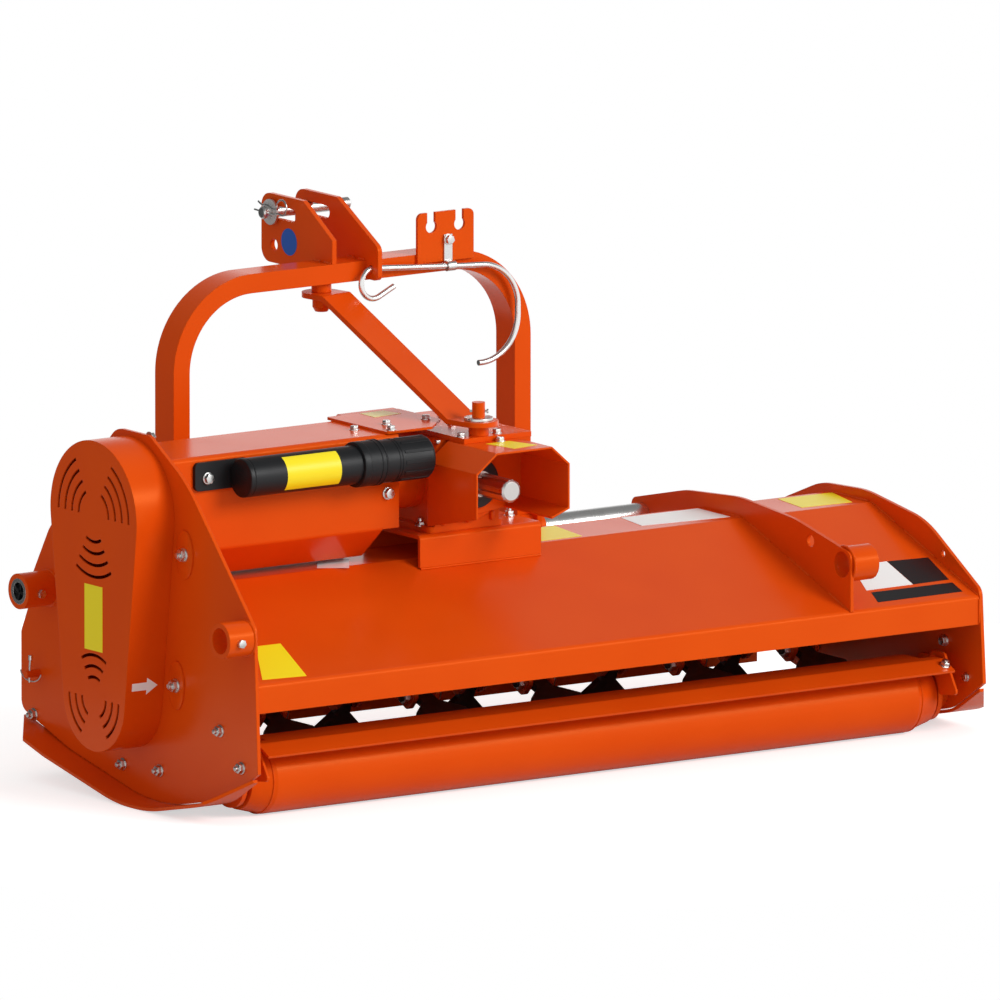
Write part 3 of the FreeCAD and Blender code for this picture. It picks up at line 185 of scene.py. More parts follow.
class MulcherColours(bpy.types.PropertyGroup):
    """Colours of the machine's finishes."""

    coat: colour("Powder coat", "#E8520C")
    coat_worn: colour("Powder coat in its thin places", "#E34C09")
    coat_gloss: colour("Tint of the powder coat's gloss", "#FF9A40")
    plastic: colour("Moulded plastic", "#191A1C")
    forged: colour("Forged steel", "#34312F")
    zinc: colour("Zinc plating", "#DCDCDA")
    pin_zinc: colour("Zinc of the pins", "#C9C9C8")
    chrome: colour("Hard chrome", "#EDEDEB")
    machined: colour("Machined steel", "#D2CECA")
    rubber: colour("Rubber", "#151516")
    foil_yellow: colour("Yellow foil", "#FFE81A")
    foil_pale: colour("Pale yellow foil", "#F6EE9A")
    foil_white: colour("White foil", "#FAF9F7")
    foil_black: colour("Black foil", "#1B1B1D")
    foil_blue: colour("Blue foil", "#2A5FBE")
    floor: colour("Floor", "#E2E2E1")


class MulcherSizes(bpy.types.PropertyGroup):
    """Sizes of the small parts."""

    nut: length("Nut", "Half the width across a nut's flats", 0.0085)
    nut_high: length("Nut height", "Height of a nut or a bolt's head", 0.008)
    washer: length("Washer", "Radius of a plain washer", 0.0115)
    washer_high: length("Washer thickness", "Thickness of a plain washer", 0.002)
    foil: length("Foil", "Thickness of a label", 0.0004)
    bead: length("Weld bead", "Radius of a weld bead", 0.003)
    clip_wire: length("Clip wire", "Radius of a spring clip's wire", 0.0015)


def colours():
    """The colours as the user has them."""
    return bpy.context.scene.mulcher_colours


def sizes():
    """The sizes as the user has them."""
    return bpy.context.scene.mulcher_sizes


# ---------------------------------------------------------------- shapes

NUT_TURN = 0.3             # how far a nut stands turned on its bolt, in radians
THREAD_SHARE = 0.56        # a thread's radius, as a share of half the nut's width
RIPPLE = (1.0, 0.82)       # how a weld bead swells and shrinks, one drop after the other
DROP_PITCH = 0.9           # from one drop to the next, in radii of the bead


def onto(place, axis, twist=0.0):
    """The turn and move that bring +Z to an axis at a place."""
    turn = axis.to_track_quat("Z", "Y").to_matrix().to_4x4()
    return Matrix.Translation(place) @ turn @ Matrix.Rotation(twist, 4, "Z")


def about_x(angle, arm):
    """An arm turned about X by an angle in degrees."""
    return Matrix.Rotation(math.radians(angle), 3, "X") @ arm


def round_off(bm, edges, width):
    """Round edges off in two steps."""
    bmesh.ops.bevel(bm, geom=edges, offset=width, offset_type="OFFSET", segments=2, profile=0.5,
                    affect="EDGES", material=-1)


def reach(seeds):
    """Every vertex joined to those of the given ones that are still there."""
    found = {vert for vert in seeds if vert.is_valid}
    waiting = list(found)
    while waiting:
        for edge in waiting.pop().link_edges:
            for vert in edge.verts:
                if vert not in found:
                    found.add(vert)
                    waiting.append(vert)
    return list(found)


def disc(bm, place, axis, radius, high, segments, bevel=0.0, top=None, twist=0.0):
    """A round or many-sided block that stands on a place, with another radius at its top if one is given."""
    verts = bmesh.ops.create_cone(bm, cap_ends=True, segments=segments, radius1=radius,
                                  radius2=radius if top is None else top, depth=high)["verts"]
    bmesh.ops.translate(bm, verts=verts, vec=(0, 0, high / 2))
    if bevel:
        edges = {edge for vert in verts for edge in vert.link_edges}
        rim = [edge for edge in edges if all(vert.co.z > high * 0.99 for vert in edge.verts)]
        round_off(bm, rim, bevel)
        verts = reach(verts)
    bmesh.ops.transform(bm, matrix=onto(place, axis, twist), verts=verts)
    return verts


def nut(bm, place, axis, scale, thread=0.005, washer=True):
    """A nut or a bolt's head on its washer, with the thread's end standing out."""
    own = sizes()
    if washer:
        disc(bm, place, axis, own.washer * scale, own.washer_high * scale, 32, 0.0004)
        place = place + axis * own.washer_high * scale
    corner = own.nut * scale / math.cos(math.pi / 6)
    disc(bm, place, axis, corner, own.nut_high * scale, 6, 0.0008 * scale, twist=NUT_TURN)
    if thread:
        top = place + axis * own.nut_high * scale
        disc(bm, top, axis, own.nut * scale * THREAD_SHARE, thread, 20, 0.0008)


def block(bm, size, place, bevel=0.0):
    """A block of a size, turned and brought to its place by a matrix."""
    verts = bmesh.ops.create_cube(bm, size=1)["verts"]
    bmesh.ops.transform(bm, verts=verts, matrix=place @ Matrix.Diagonal((*size, 1)))
    if bevel:
        round_off(bm, list({edge for vert in verts for edge in vert.link_edges}), bevel)


def wire(bm, points, radius, swell=None):
    """A round wire along a smooth line near the points."""
    curve = bpy.data.curves.new("wire", "CURVE")
    curve.dimensions = "3D"
    curve.bevel_depth = radius
    curve.bevel_resolution = 3
    curve.resolution_u = 6
    curve.use_fill_caps = True
    spline = curve.splines.new("NURBS")
    spline.points.add(len(points) - 1)
    for index, place in enumerate(points):
        spline.points[index].co = (*place, 1)
        if swell:
            spline.points[index].radius = swell[index % len(swell)]
    spline.order_u = 3
    spline.use_endpoint_u = True
    holder = bpy.data.objects.new("wire", curve)
    mesh = bpy.data.meshes.new_from_object(holder)
    bm.from_mesh(mesh)
    bpy.data.objects.remove(holder)
    bpy.data.curves.remove(curve)
    bpy.data.meshes.remove(mesh)


def arc(centre, across, up, radius, start=0.0, sweep=360.0, steps=14):
    """Places round a centre, in the plane of two directions, with the angles in degrees."""
    turns = [math.radians(start + sweep * step / steps) for step in range(steps + 1)]
    return [centre + across * radius * math.cos(turn) + up * radius * math.sin(turn) for turn in turns]


def bead(bm, start, end, scale):
    """A straight weld bead, with the ripple that each drop leaves."""
    radius = sizes().bead * scale
    steps = max(4, int((end - start).length / radius / DROP_PITCH))
    wire(bm, [start.lerp(end, step / steps) for step in range(steps + 1)], radius, RIPPLE)


def bead_round(bm, centre, axis, radius, scale):
    """A weld bead round a pipe's root."""
    turn = axis.to_track_quat("Z", "Y").to_matrix()
    size = sizes().bead * scale
    steps = max(12, int(radius * math.tau / size / DROP_PITCH))
    wire(bm, arc(centre, turn.col[0], turn.col[1], radius, steps=steps), size, RIPPLE)


def foil(bm, outline):
    """A foil with its corners in order, lifted along its own normal."""
    face = bm.faces.new([bm.verts.new(corner) for corner in outline])
    face.normal_update()
    normal = face.normal.copy()
    made = bmesh.ops.extrude_face_region(bm, geom=[face])
    lifted = [each for each in made["geom"] if isinstance(each, bmesh.types.BMVert)]
    bmesh.ops.translate(bm, verts=lifted, vec=normal * sizes().foil)


def foil_round(bm, start, end, radius, first, sweep):
    """A foil round a barrel: from one angle, counted from upright towards the rear, through a sweep."""
    axis = (end - start).normalized()
    lift = Matrix.Rotation(math.radians(first), 3, axis) @ UP * radius
    seam = [bm.verts.new(start + lift), bm.verts.new(end + lift)]
    old = set(bm.faces)
    bmesh.ops.spin(bm, geom=[*seam, bm.edges.new(seam)], cent=start, axis=axis, angle=math.radians(sweep),
                   steps=32, use_merge=False, use_duplicate=False)
    sheet = [face for face in bm.faces if face not in old]
    bmesh.ops.solidify(bm, geom=sheet, thickness=-sizes().foil * 0.6)


def piece(name, bm, body, material, smooth=math.radians(35)):
    """Turn a bmesh into an object that rides on a body."""
    bmesh.ops.recalc_face_normals(bm, faces=bm.faces)
    mesh = bpy.data.meshes.new(name)
    bm.to_mesh(mesh)
    bm.free()
    mesh.shade_smooth()
    mesh.set_sharp_from_angle(angle=smooth)
    made = bpy.data.objects.new(name, mesh)
    bpy.context.scene.collection.objects.link(made)
    made.data.materials.append(bpy.data.materials[material])
    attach(made, body)


# ---------------------------------------------------------------- finishes

def add(tree, kind, links=None, **settings):
    """Add a node: its settings by name, and its inputs by name or number from a value or another socket."""
    made = tree.nodes.new(kind)
    for name, value in settings.items():
        setattr(made, name, value)
    for name, value in (links or {}).items():
        if isinstance(value, bpy.types.NodeSocket):
            tree.links.new(value, made.inputs[name])
        else:
            made.inputs[name].default_value = value
    return made


def new_tree(owner):
    """The owner's node tree, empty."""
    owner.use_nodes = True
    owner.node_tree.nodes.clear()
    return owner.node_tree


def surface(name, base, rough, grain=None, grain_deep=0.0, second=None, patch=None, metallic=0.0, gloss=0.5,
            tint=(1, 1, 1, 1), edge=0.0, rough_spread=0.0):
    """A finish. Lengths are in metres: grain and patch are the sizes of its bump and its clouds of colour
    and roughness, and edge is the radius that its edges seem to have. Its IOR is the shader's own, 1.5."""
    material = bpy.data.materials.new(name)
    tree = new_tree(material)
    shader = add(tree, "ShaderNodeBsdfPrincipled", {
        "Base Color": base, "Roughness": rough, "Metallic": metallic, "Specular IOR Level": gloss,
        "Specular Tint": tint})
    add(tree, "ShaderNodeOutputMaterial", {"Surface": shader.outputs["BSDF"]})
    place = add(tree, "ShaderNodeTexCoord").outputs["Object"]
    if patch:
        cloud = add(tree, "ShaderNodeTexNoise", {"Vector": place, "Scale": 1 / patch, "Detail": 1.0})
        # Noise keeps to the middle of its range, which is stretched to the whole.
        share = add(tree, "ShaderNodeMapRange", {
            "Value": cloud.outputs["Fac"], "From Min": 0.2, "From Max": 0.8}).outputs["Result"]
        if second:
            # Inputs 6 and 7 are the mix's two colours, and output 2 is the mixed one.
            mixed = add(tree, "ShaderNodeMix", {0: share, 6: base, 7: second}, data_type="RGBA")
            tree.links.new(mixed.outputs[2], shader.inputs["Base Color"])
        if rough_spread:
            spread = add(tree, "ShaderNodeMapRange", {
                "Value": share, "To Min": rough - rough_spread, "To Max": rough + rough_spread})
            tree.links.new(spread.outputs["Result"], shader.inputs["Roughness"])
    normal = None
    if edge:
        normal = add(tree, "ShaderNodeBevel", {"Radius": edge}, samples=4).outputs["Normal"]
        tree.links.new(normal, shader.inputs["Normal"])
    if grain:
        noise = add(tree, "ShaderNodeTexNoise", {"Vector": place, "Scale": 1 / grain, "Detail": 2.0})
        bump = add(tree, "ShaderNodeBump", {
            "Height": noise.outputs["Fac"], "Distance": grain_deep, "Strength": 0.6})
        if normal:
            tree.links.new(normal, bump.inputs["Normal"])
        tree.links.new(bump.outputs["Normal"], shader.inputs["Normal"])


NODE_FINISHES = {
    "powder_coated_sheet": [
        "side_plate_left", "side_plate_right", "hood", "inner_plate", "skid_left", "skid_right", "bar_bosses",
        "roller_arm_left", "roller_arm_right", "scraper", "bearing_cap", "belt_cover", "drive_housing",
        "shaft_tube", "housing_lid", "gearbox_top_plate", "gearbox_pedestal", "pto_guard_rear",
        "pto_guard_front", "rotor_drum", "roller", "front_flap", "head_frame", "link_bracket_left",
        "link_bracket_right", "top_link_ear_left", "top_link_ear_right", "hose_holder", "brace_bar",
        "brace_upper_pin", "brace_post", "flap_rod"],
    "painted_casting": ["gearbox", "rotor_bearing_left", "rotor_bearing_right"],
    "hard_chrome": ["slide_bar", "hose_rod"],
    "zinc_plated_steel": ["rod_clamp", "top_link_pin"],
    "hot_dip_zinc": ["link_pin_left", "link_pin_right"],
    "machined_steel": ["pto_shaft"],
    "forged_steel": ["flails"],
    "moulded_polypropylene": ["canister_body", "canister_cap"],
}


class MULCHER_OT_finishes(bpy.types.Operator):
    """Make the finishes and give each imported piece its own"""

    bl_idname = "mulcher.finishes"
    bl_label = "Finishes"

    def execute(self, context):
        own = colours()
        # Baked powder coat: even colour, satin gloss, and the faint peel of the melted powder.
        surface("powder_coated_sheet", own.coat, 0.24, grain=0.004, grain_deep=0.00004, second=own.coat_worn,
                patch=0.12, tint=own.coat_gloss, edge=0.0015, rough_spread=0.03)
        # Sand-cast iron under the same paint: its grain, drawn coarser so that it shows, comes through.
        surface("painted_casting", own.coat, 0.34, grain=0.0018, grain_deep=0.0004, second=own.coat_worn,
                patch=0.05, tint=own.coat_gloss, edge=0.003, rough_spread=0.05)
        # Hard chrome on ground bar: a soft mirror, cloudy where the grinder left it duller.
        surface("hard_chrome", own.chrome, 0.27, metallic=1.0, patch=0.03, rough_spread=0.04, edge=0.0008)
        # Passivated zinc: pale, with a cloudy gloss.
        surface("zinc_plated_steel", own.zinc, 0.3, grain=0.002, grain_deep=0.00004, metallic=1.0,
                patch=0.006, rough_spread=0.1, edge=0.0006)
        # Hot-dip zinc on the pins: pale and dull, with the grain of its crystals.
        surface("hot_dip_zinc", own.pin_zinc, 0.48, grain=0.003, grain_deep=0.00008, second=own.zinc,
                metallic=0.25, patch=0.008, rough_spread=0.1, edge=0.0008)
        # Turned and milled steel under a film of oil: bright, with its tool marks drawn coarser to show.
        surface("machined_steel", own.machined, 0.34, grain=0.0012, grain_deep=0.00005, metallic=1.0,
                patch=0.01, rough_spread=0.08, edge=0.0008)
        # Drop-forged hammers, blackened by their heat treatment: dull, with a coarse scale.
        surface("forged_steel", own.forged, 0.5, grain=0.003, grain_deep=0.0004, patch=0.02,
                rough_spread=0.1, edge=0.002)
        # Injection-moulded polypropylene: dark, with a soft sheen. Its fine spark grain is drawn coarser.
        surface("moulded_polypropylene", own.plastic, 0.42, grain=0.0015, grain_deep=0.0001, patch=0.04,
                gloss=0.3, rough_spread=0.05, edge=0.0015)
        # Moulded nitrile rubber: almost black, and dull from a fine grain that is drawn coarser.
        surface("nitrile_rubber", own.rubber, 0.55, grain=0.002, grain_deep=0.0001)
        # Printed vinyl foil under a clear film: flat colour, satin gloss and a slight waviness.
        for tone in ("yellow", "pale", "white", "black", "blue"):
            surface(f"vinyl_foil_{tone}", getattr(own, f"foil_{tone}"), 0.35, grain=0.02, grain_deep=0.0001,
                    gloss=0.4)
        for finish, names in NODE_FINISHES.items():
            for name in names:
                slots = frame["nodes"][name].data.materials
                slots.clear()
                slots.append(bpy.data.materials[finish])
        return {"FINISHED"}


# ---------------------------------------------------------------- deck and drive

COVER_BOLTS = ((186, 397, 22), (208, 192, 20))     # y, z and half the height of the tab under each
TAB_SHEET = 3
BEARING_BOLTS = 0.048                              # radius of the circle that they stand on
CAP_BOLTS = 1.42                                   # the same outside the right plate, as a multiple


class MULCHER_OT_deck_fasteners(bpy.types.Operator):
    """Bolt the cover, the skids, the bearings and the scraper to the deck"""

    bl_idname = "mulcher.deck_fasteners"
    bl_label = "Deck fasteners"

    def execute(self, context):
        bm = bmesh.new()
        # Through both side plates, over the roller's arms and over the skids' ends.
        for y, z, inner_scale in ((93, 139, 0.8), (36, 90, 0.6), (594, 90, 0.6)):
            for sign in (-1, 1):
                nut(bm, spot(HALF_WIDTH * sign, y, z), RIGHT * sign, 0.85)
                nut(bm, spot(INNER_FACE * sign, y, z), LEFT * sign, inner_scale, 0.0)
        # The belt cover's, two more below it, and one inside the left plate's crest.
        for y, z, _ in COVER_BOLTS:
            nut(bm, spot(-HALF_WIDTH - TAB_SHEET, y, z), LEFT, 0.95)
            nut(bm, spot(-INNER_FACE, y, z), RIGHT, 0.95)
        for y, z in ((354, 48.5), (255, 53.5)):
            nut(bm, spot(-HALF_WIDTH, y, z), LEFT, 0.85)
        nut(bm, spot(-INNER_FACE, 292, 562), RIGHT, 0.8, 0.003)
        # Round the rotor's bearings, and all but the first again outside the right plate.
        bearing_face = corners("rotor_bearing_right")[0].x
        first = 45
        for angle in range(first, first + 360, 90):
            lift = about_x(angle, FRONT * BEARING_BOLTS)
            for sign, axis in ((-1, RIGHT), (1, LEFT)):
                nut(bm, spot(bearing_face * sign, *ROTOR) + lift, axis, 0.75)
            if angle != first:
                nut(bm, spot(HALF_WIDTH, *ROTOR) + lift * CAP_BOLTS, RIGHT, 0.75)
        # Set screws in the rear of the left plate's two bosses.
        for x, y in ((-712, 528.7), (-707, -1.3)):
            nut(bm, spot(x, y, 290), REAR, 0.72, 0.0, washer=False)
        # Square on the scraper's slanting strip.
        nut(bm, spot(631, 34, 113.2), Vector((0, -0.447, 0.894)).normalized(), 0.75, 0.003)
        piece("deck_fasteners", bm, "chassis", "zinc_plated_steel")
        return {"FINISHED"}


class MULCHER_OT_cover_tabs(bpy.types.Operator):
    """Put the rounded tabs under the cover's bolts"""

    bl_idname = "mulcher.cover_tabs"
    bl_label = "Cover tabs"

    def execute(self, context):
        bm = bmesh.new()
        half_long = 37.5
        for y, z, half_high in COVER_BOLTS:
            tab = disc(bm, Vector(), LEFT, half_long / 1000, TAB_SHEET / 1000, 48, 0.0006)
            bmesh.ops.scale(bm, verts=tab, vec=(1, half_high / half_long, 1))
            bmesh.ops.translate(bm, verts=tab, vec=spot(-HALF_WIDTH, y, z))
        piece("cover_tabs", bm, "chassis", "powder_coated_sheet")
        return {"FINISHED"}


class MULCHER_OT_shaft_seals(bpy.types.Operator):
    """Seal the drive shaft where it leaves the gearbox"""

    bl_idname = "mulcher.shaft_seals"
    bl_label = "Shaft seals"

    def execute(self, context):
        bm = bmesh.new()
        rear, front = (corner.y for corner in corners("gearbox"))
        sunk = 0.5
        for y, axis in ((rear + sunk, REAR), (front - sunk, FRONT)):
            place = spot(SHAFT.x, y, SHAFT.z)
            disc(bm, place, axis, 0.039, 0.004, 48, 0.001)
            disc(bm, place + axis * 0.004, axis, 0.027, 0.003, 40, 0.0008)
        piece("shaft_seals", bm, "chassis", "nitrile_rubber")
        return {"FINISHED"}


class MULCHER_OT_bar_plug(bpy.types.Operator):
    """Close the slide bar's open end with a cup that has a cross of ribs in it"""

    bl_idname = "mulcher.bar_plug"
    bl_label = "Bar plug"

    def execute(self, context):
        bm = bmesh.new()
        place = spot(corners("slide_bar")[0].x, *BAR)
        verts = bmesh.ops.create_circle(bm, cap_ends=True, segments=48, radius=0.0193)["verts"]
        bmesh.ops.transform(bm, verts=verts, matrix=onto(place + LEFT * 0.0006, LEFT))
        # The cup's rim, and its wall down to its floor.
        floor = list(bm.faces)
        bmesh.ops.inset_region(bm, faces=floor, thickness=0.0026, depth=0)
        bmesh.ops.inset_region(bm, faces=floor, thickness=0.0004, depth=-0.009)
        for lean in (0.35, 0.35 + math.pi / 2):
            turn = Matrix.Rotation(lean, 4, "X")
            block(bm, (0.006, 0.0328, 0.004), Matrix.Translation(place + RIGHT * 0.005) @ turn)
        piece("bar_plug", bm, "chassis", "moulded_polypropylene")
        return {"FINISHED"}


class MULCHER_OT_gearbox_details(bpy.types.Operator):
    """Add the ribs and plugs of the gearbox, and the bolts on it and on its housing"""

    bl_idname = "mulcher.gearbox_details"
    bl_label = "Gearbox details"

    def execute(self, context):
        side_cover = spot(corners("gearbox")[1].x, SHAFT.y, SHAFT.z)
        bm = bmesh.new()
        heads = {
            "drive_housing": [(-275, 319)],
            "housing_lid": [(-220, 312), (-242, 268), (-143, 317)],
            "gearbox_top_plate": [(-86, 329), (-73, 228), (-36, 430), (-130, 430), (-137, 232)],
            "pto_guard_rear": [(-84, 203)],
        }
        for node, places in heads.items():
            where = on_top(node)
            for x, y in places:
                nut(bm, where(x, y), UP, 0.68, 0.0)
        # In the plate on the gearbox, at its left front corner, where it doesn't show.
        nut(bm, spot(-137, 430, 510), UP, 0.68, 0.0)
        # On the gearbox's rounded left rear corner, under the lid's edge.
        nut(bm, spot(-156, 268, 505), UP, 0.6, 0.0, washer=False)
        # Through the gearbox's foot, and one more on the pedestal.
        foot_top = 375
        for x in (-171, -39):
            for y in (292, 375):
                nut(bm, spot(x, y, foot_top), UP, 0.72)
        nut(bm, on_top("gearbox_pedestal")(18, 325), UP, 0.72)
        # In the housing's rear and front walls, near its right end.
        rear, front = (corner.y for corner in corners("drive_housing"))
        nut(bm, spot(-256, rear, 439), REAR, 0.85, 0.0)
        nut(bm, spot(-256, front, 439), FRONT, 0.85, 0.0)
        # Round the gearbox's side cover.
        for angle in (45, 135, 225, 315):
            nut(bm, side_cover + about_x(angle, FRONT * 0.034), RIGHT, 0.7, 0.0, washer=False)
        piece("gearbox_bolts", bm, "chassis", "zinc_plated_steel")
        bm = bmesh.new()
        # Short ribs low on the rear and front walls, and two tall ones on the right.
        short_rib = (0.006, 0.005, 0.014)
        tall_rib = (0.005, 0.006, 0.128)
        for x in (SHAFT.x - 45, SHAFT.x, SHAFT.x + 45):
            for y in (259.5, 402.5):
                block(bm, short_rib, Matrix.Translation(spot(x, y, 385)), 0.0012)
        for y in (SHAFT.y - 46, SHAFT.y + 46):
            block(bm, tall_rib, Matrix.Translation(spot(-43.5, y, 442)), 0.0015)
        disc(bm, side_cover, RIGHT, 0.022, 0.003, 40, 0.001)
        piece("gearbox_ribs", bm, "chassis", "painted_casting")
        bm = bmesh.new()
        disc(bm, spot(-44, SHAFT.y, 393), RIGHT, 0.009, 0.006, 6, 0.001)
        disc(bm, spot(-58, 390, 509), UP, 0.009, 0.012, 20, 0.0015)
        piece("gearbox_plugs", bm, "chassis", "nitrile_rubber")
        return {"FINISHED"}


class MULCHER_OT_shaft_ends(bpy.types.Operator):
    """Close the shaft's splines with the turned chamfer round each faced end"""

    bl_idname = "mulcher.shaft_ends"
    bl_label = "Shaft ends"

    def execute(self, context):
        bm = bmesh.new()
        rear, front = (corner.y for corner in corners("pto_shaft"))
        for y, axis in ((rear, REAR), (front, FRONT)):
            disc(bm, spot(SHAFT.x, y, SHAFT.z), axis, 0.0173, 0.0024, 48, top=0.0142)
        piece("shaft_ends", bm, "pto", "machined_steel")
        return {"FINISHED"}


STATION_FIRST = 0.6868     # shares of the half width: from the middle left to flail 0, the third one,
STATION_WIDE = 0.1044      # and the two spacings, in turn four and four from there
STATION_CLOSE = 0.0787
PIVOT_RADIUS = 0.072       # axis of a flail's bolt from the rotor's axis
LUG_FACE = 24              # outer face of a lug from the flail's middle


class MULCHER_OT_flail_nuts(bpy.types.Operator):
    """Put a head and a nut on the bolt of each flail"""

    bl_idname = "mulcher.flail_nuts"
    bl_label = "Flail nuts"

    def execute(self, context):
        bm = bmesh.new()
        for index in range(-2, 18):
            # How many of the spacings up to this flail are wide ones.
            wide = 4 * (index // 8) + min(index % 8, 4)
            share = STATION_WIDE * wide + STATION_CLOSE * (index - wide) - STATION_FIRST
            lift = about_x(130 - 90 * index, UP * PIVOT_RADIUS)
            for side, axis in ((-LUG_FACE, LEFT), (LUG_FACE, RIGHT)):
                nut(bm, spot(HALF_WIDTH * share + side, *ROTOR) + lift, axis, 1.2, 0.0, washer=False)
        piece("flail_nuts", bm, "rotor", "zinc_plated_steel")
        return {"FINISHED"}


# ---------------------------------------------------------------- hitch, flap and canister

class MULCHER_OT_hitch_clips(bpy.types.Operator):
    """Clip and pin the hitch: the spring clip, the split pins, the clamp's bolt and a washer"""

    bl_idname = "mulcher.hitch_clips"
    bl_label = "Hitch clips"

    def execute(self, context):
        thin = sizes().clip_wire
        bm = bmesh.new()
        # Spring clip through the top link pin: a straight leg, a round loop and a leg that hugs the pin.
        path = ((728, 806), (699, 804.5), (676, 805), (664, 808), (649, 805), (640, 817), (646, 829.5),
                (659, 830.4), (668, 823), (667, 814), (680, 812.5), (688, 817.5), (699, 817.5), (709, 815),
                (718, 820))
        wire(bm, [spot(-177, y, z) for y, z in path], thin)
        # Split pins through the lower link pins, with their rings.
        for x in (-532, 286):
            place = spot(x, 650, 292)
            wire(bm, [place + UP * -0.017, place, place + UP * 0.019], thin * 1.4)
            wire(bm, arc(place + UP * 0.001, FRONT, UP, 0.0175, 90, 300), thin * 0.8)
        # The rod clamp's bolt: its head on the clamp, and its end in front of the hose holder.
        nut(bm, spot(50.5, 534, 764), REAR, 0.75, 0.0)
        disc(bm, spot(50.5, 542, 764), FRONT, 0.006, 0.004, 6, 0.0006)
        piece("hitch_clips", bm, "headstock", "zinc_plated_steel")
        bm = bmesh.new()
        disc(bm, spot(-169.5, *TOP_LINK), LEFT, 0.0198, 0.0005, 48)
        piece("top_link_washer", bm, "headstock", "hot_dip_zinc")
        return {"FINISHED"}


class MULCHER_OT_brace_clip(bpy.types.Operator):
    """Hold the brace's lower eye with a washer and a split pin"""

    bl_idname = "mulcher.brace_clip"
    bl_label = "Brace clip"

    def execute(self, context):
        bm = bmesh.new()
        sheet = 0.008
        play = 0.0003
        place = spot(-105, 231, 0)
        place.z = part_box("brace_bar")[0].z + sheet + play
        disc(bm, place, UP, 0.0225, 0.0042, 48, 0.0006)
        cross = Vector((0.80, -0.60, 0))
        pin = place + UP * 0.0135
        wire(bm, [pin - cross * 0.0135, pin, pin + cross * 0.0135], sizes().clip_wire * 1.3)
        disc(bm, pin + cross * 0.0125, cross, 0.0034, 0.003, 20, 0.0008)
        piece("brace_clip", bm, "chassis", "zinc_plated_steel")
        return {"FINISHED"}


class MULCHER_OT_flap_clips(bpy.types.Operator):
    """Hold the flap's rod with a linch pin at each end"""

    bl_idname = "mulcher.flap_clips"
    bl_label = "Flap clips"

    def execute(self, context):
        thin = sizes().clip_wire
        bm = bmesh.new()
        for sign in (-1, 1):
            middle = spot(697 * sign, *FLAP_ROD)
            foot = middle + Vector((0, -0.001, -0.013))
            tip = middle + Vector((0, -0.004, 0.027))
            wire(bm, [foot, middle, tip], thin * 1.1)
            disc(bm, middle + Vector((0, -0.004, 0.022)), UP, 0.0034, 0.008, 14, 0.001)
            centre = middle + Vector((-0.001 * sign, -0.003, 0.006))
            wire(bm, arc(centre, FRONT, UP * 0.6, 0.028, 190, 160), thin * 0.8)
        piece("flap_clips", bm, "chassis", "zinc_plated_steel")
        return {"FINISHED"}


class MULCHER_OT_canister_details(bpy.types.Operator):
    """Shape the canister's cap and clamp it to the housing"""

    bl_idname = "mulcher.canister_details"
    bl_label = "Canister details"

    def execute(self, context):
        bm = bmesh.new()
        # The collar where the barrel meets the cap, and the cap's rings.
        disc(bm, spot(-332.5, *CANISTER), LEFT, 0.0352, 0.0125, 64, 0.002)
        for x, radius, wide in ((-313, 0.0357, 0.002), (-305, 0.0357, 0.002), (-279, 0.0336, 0.0016),
                                (-274, 0.0336, 0.0016)):
            disc(bm, spot(x, *CANISTER), RIGHT, radius, wide, 64, 0.0005)
        # Long low ribs for the hand round the cap's end.
        for angle in range(0, 360, 30):
            lift = Matrix.Rotation(math.radians(angle), 4, "X") @ Matrix.Translation((0, 0, 0.0325))
            block(bm, (0.052, 0.0055, 0.0024), Matrix.Translation(spot(-242, *CANISTER)) @ lift)
        # The barrel's own end cap.
        disc(bm, spot(-545, *CANISTER), LEFT, 0.03, 0.008, 64, 0.002)
        piece("canister_ribs", bm, "chassis", "moulded_polypropylene",
              smooth=math.radians(25))
        bm = bmesh.new()
        nut(bm, spot(-594, 251, CANISTER[1]), REAR, 0.8, 0.0)
        piece("canister_bolt", bm, "chassis", "zinc_plated_steel")
        return {"FINISHED"}


# ---------------------------------------------------------------- labels and welds

ARROW = ((-739, 183), (-712, 183), (-712, 176), (-692, 189), (-712, 202), (-712, 195), (-739, 195))


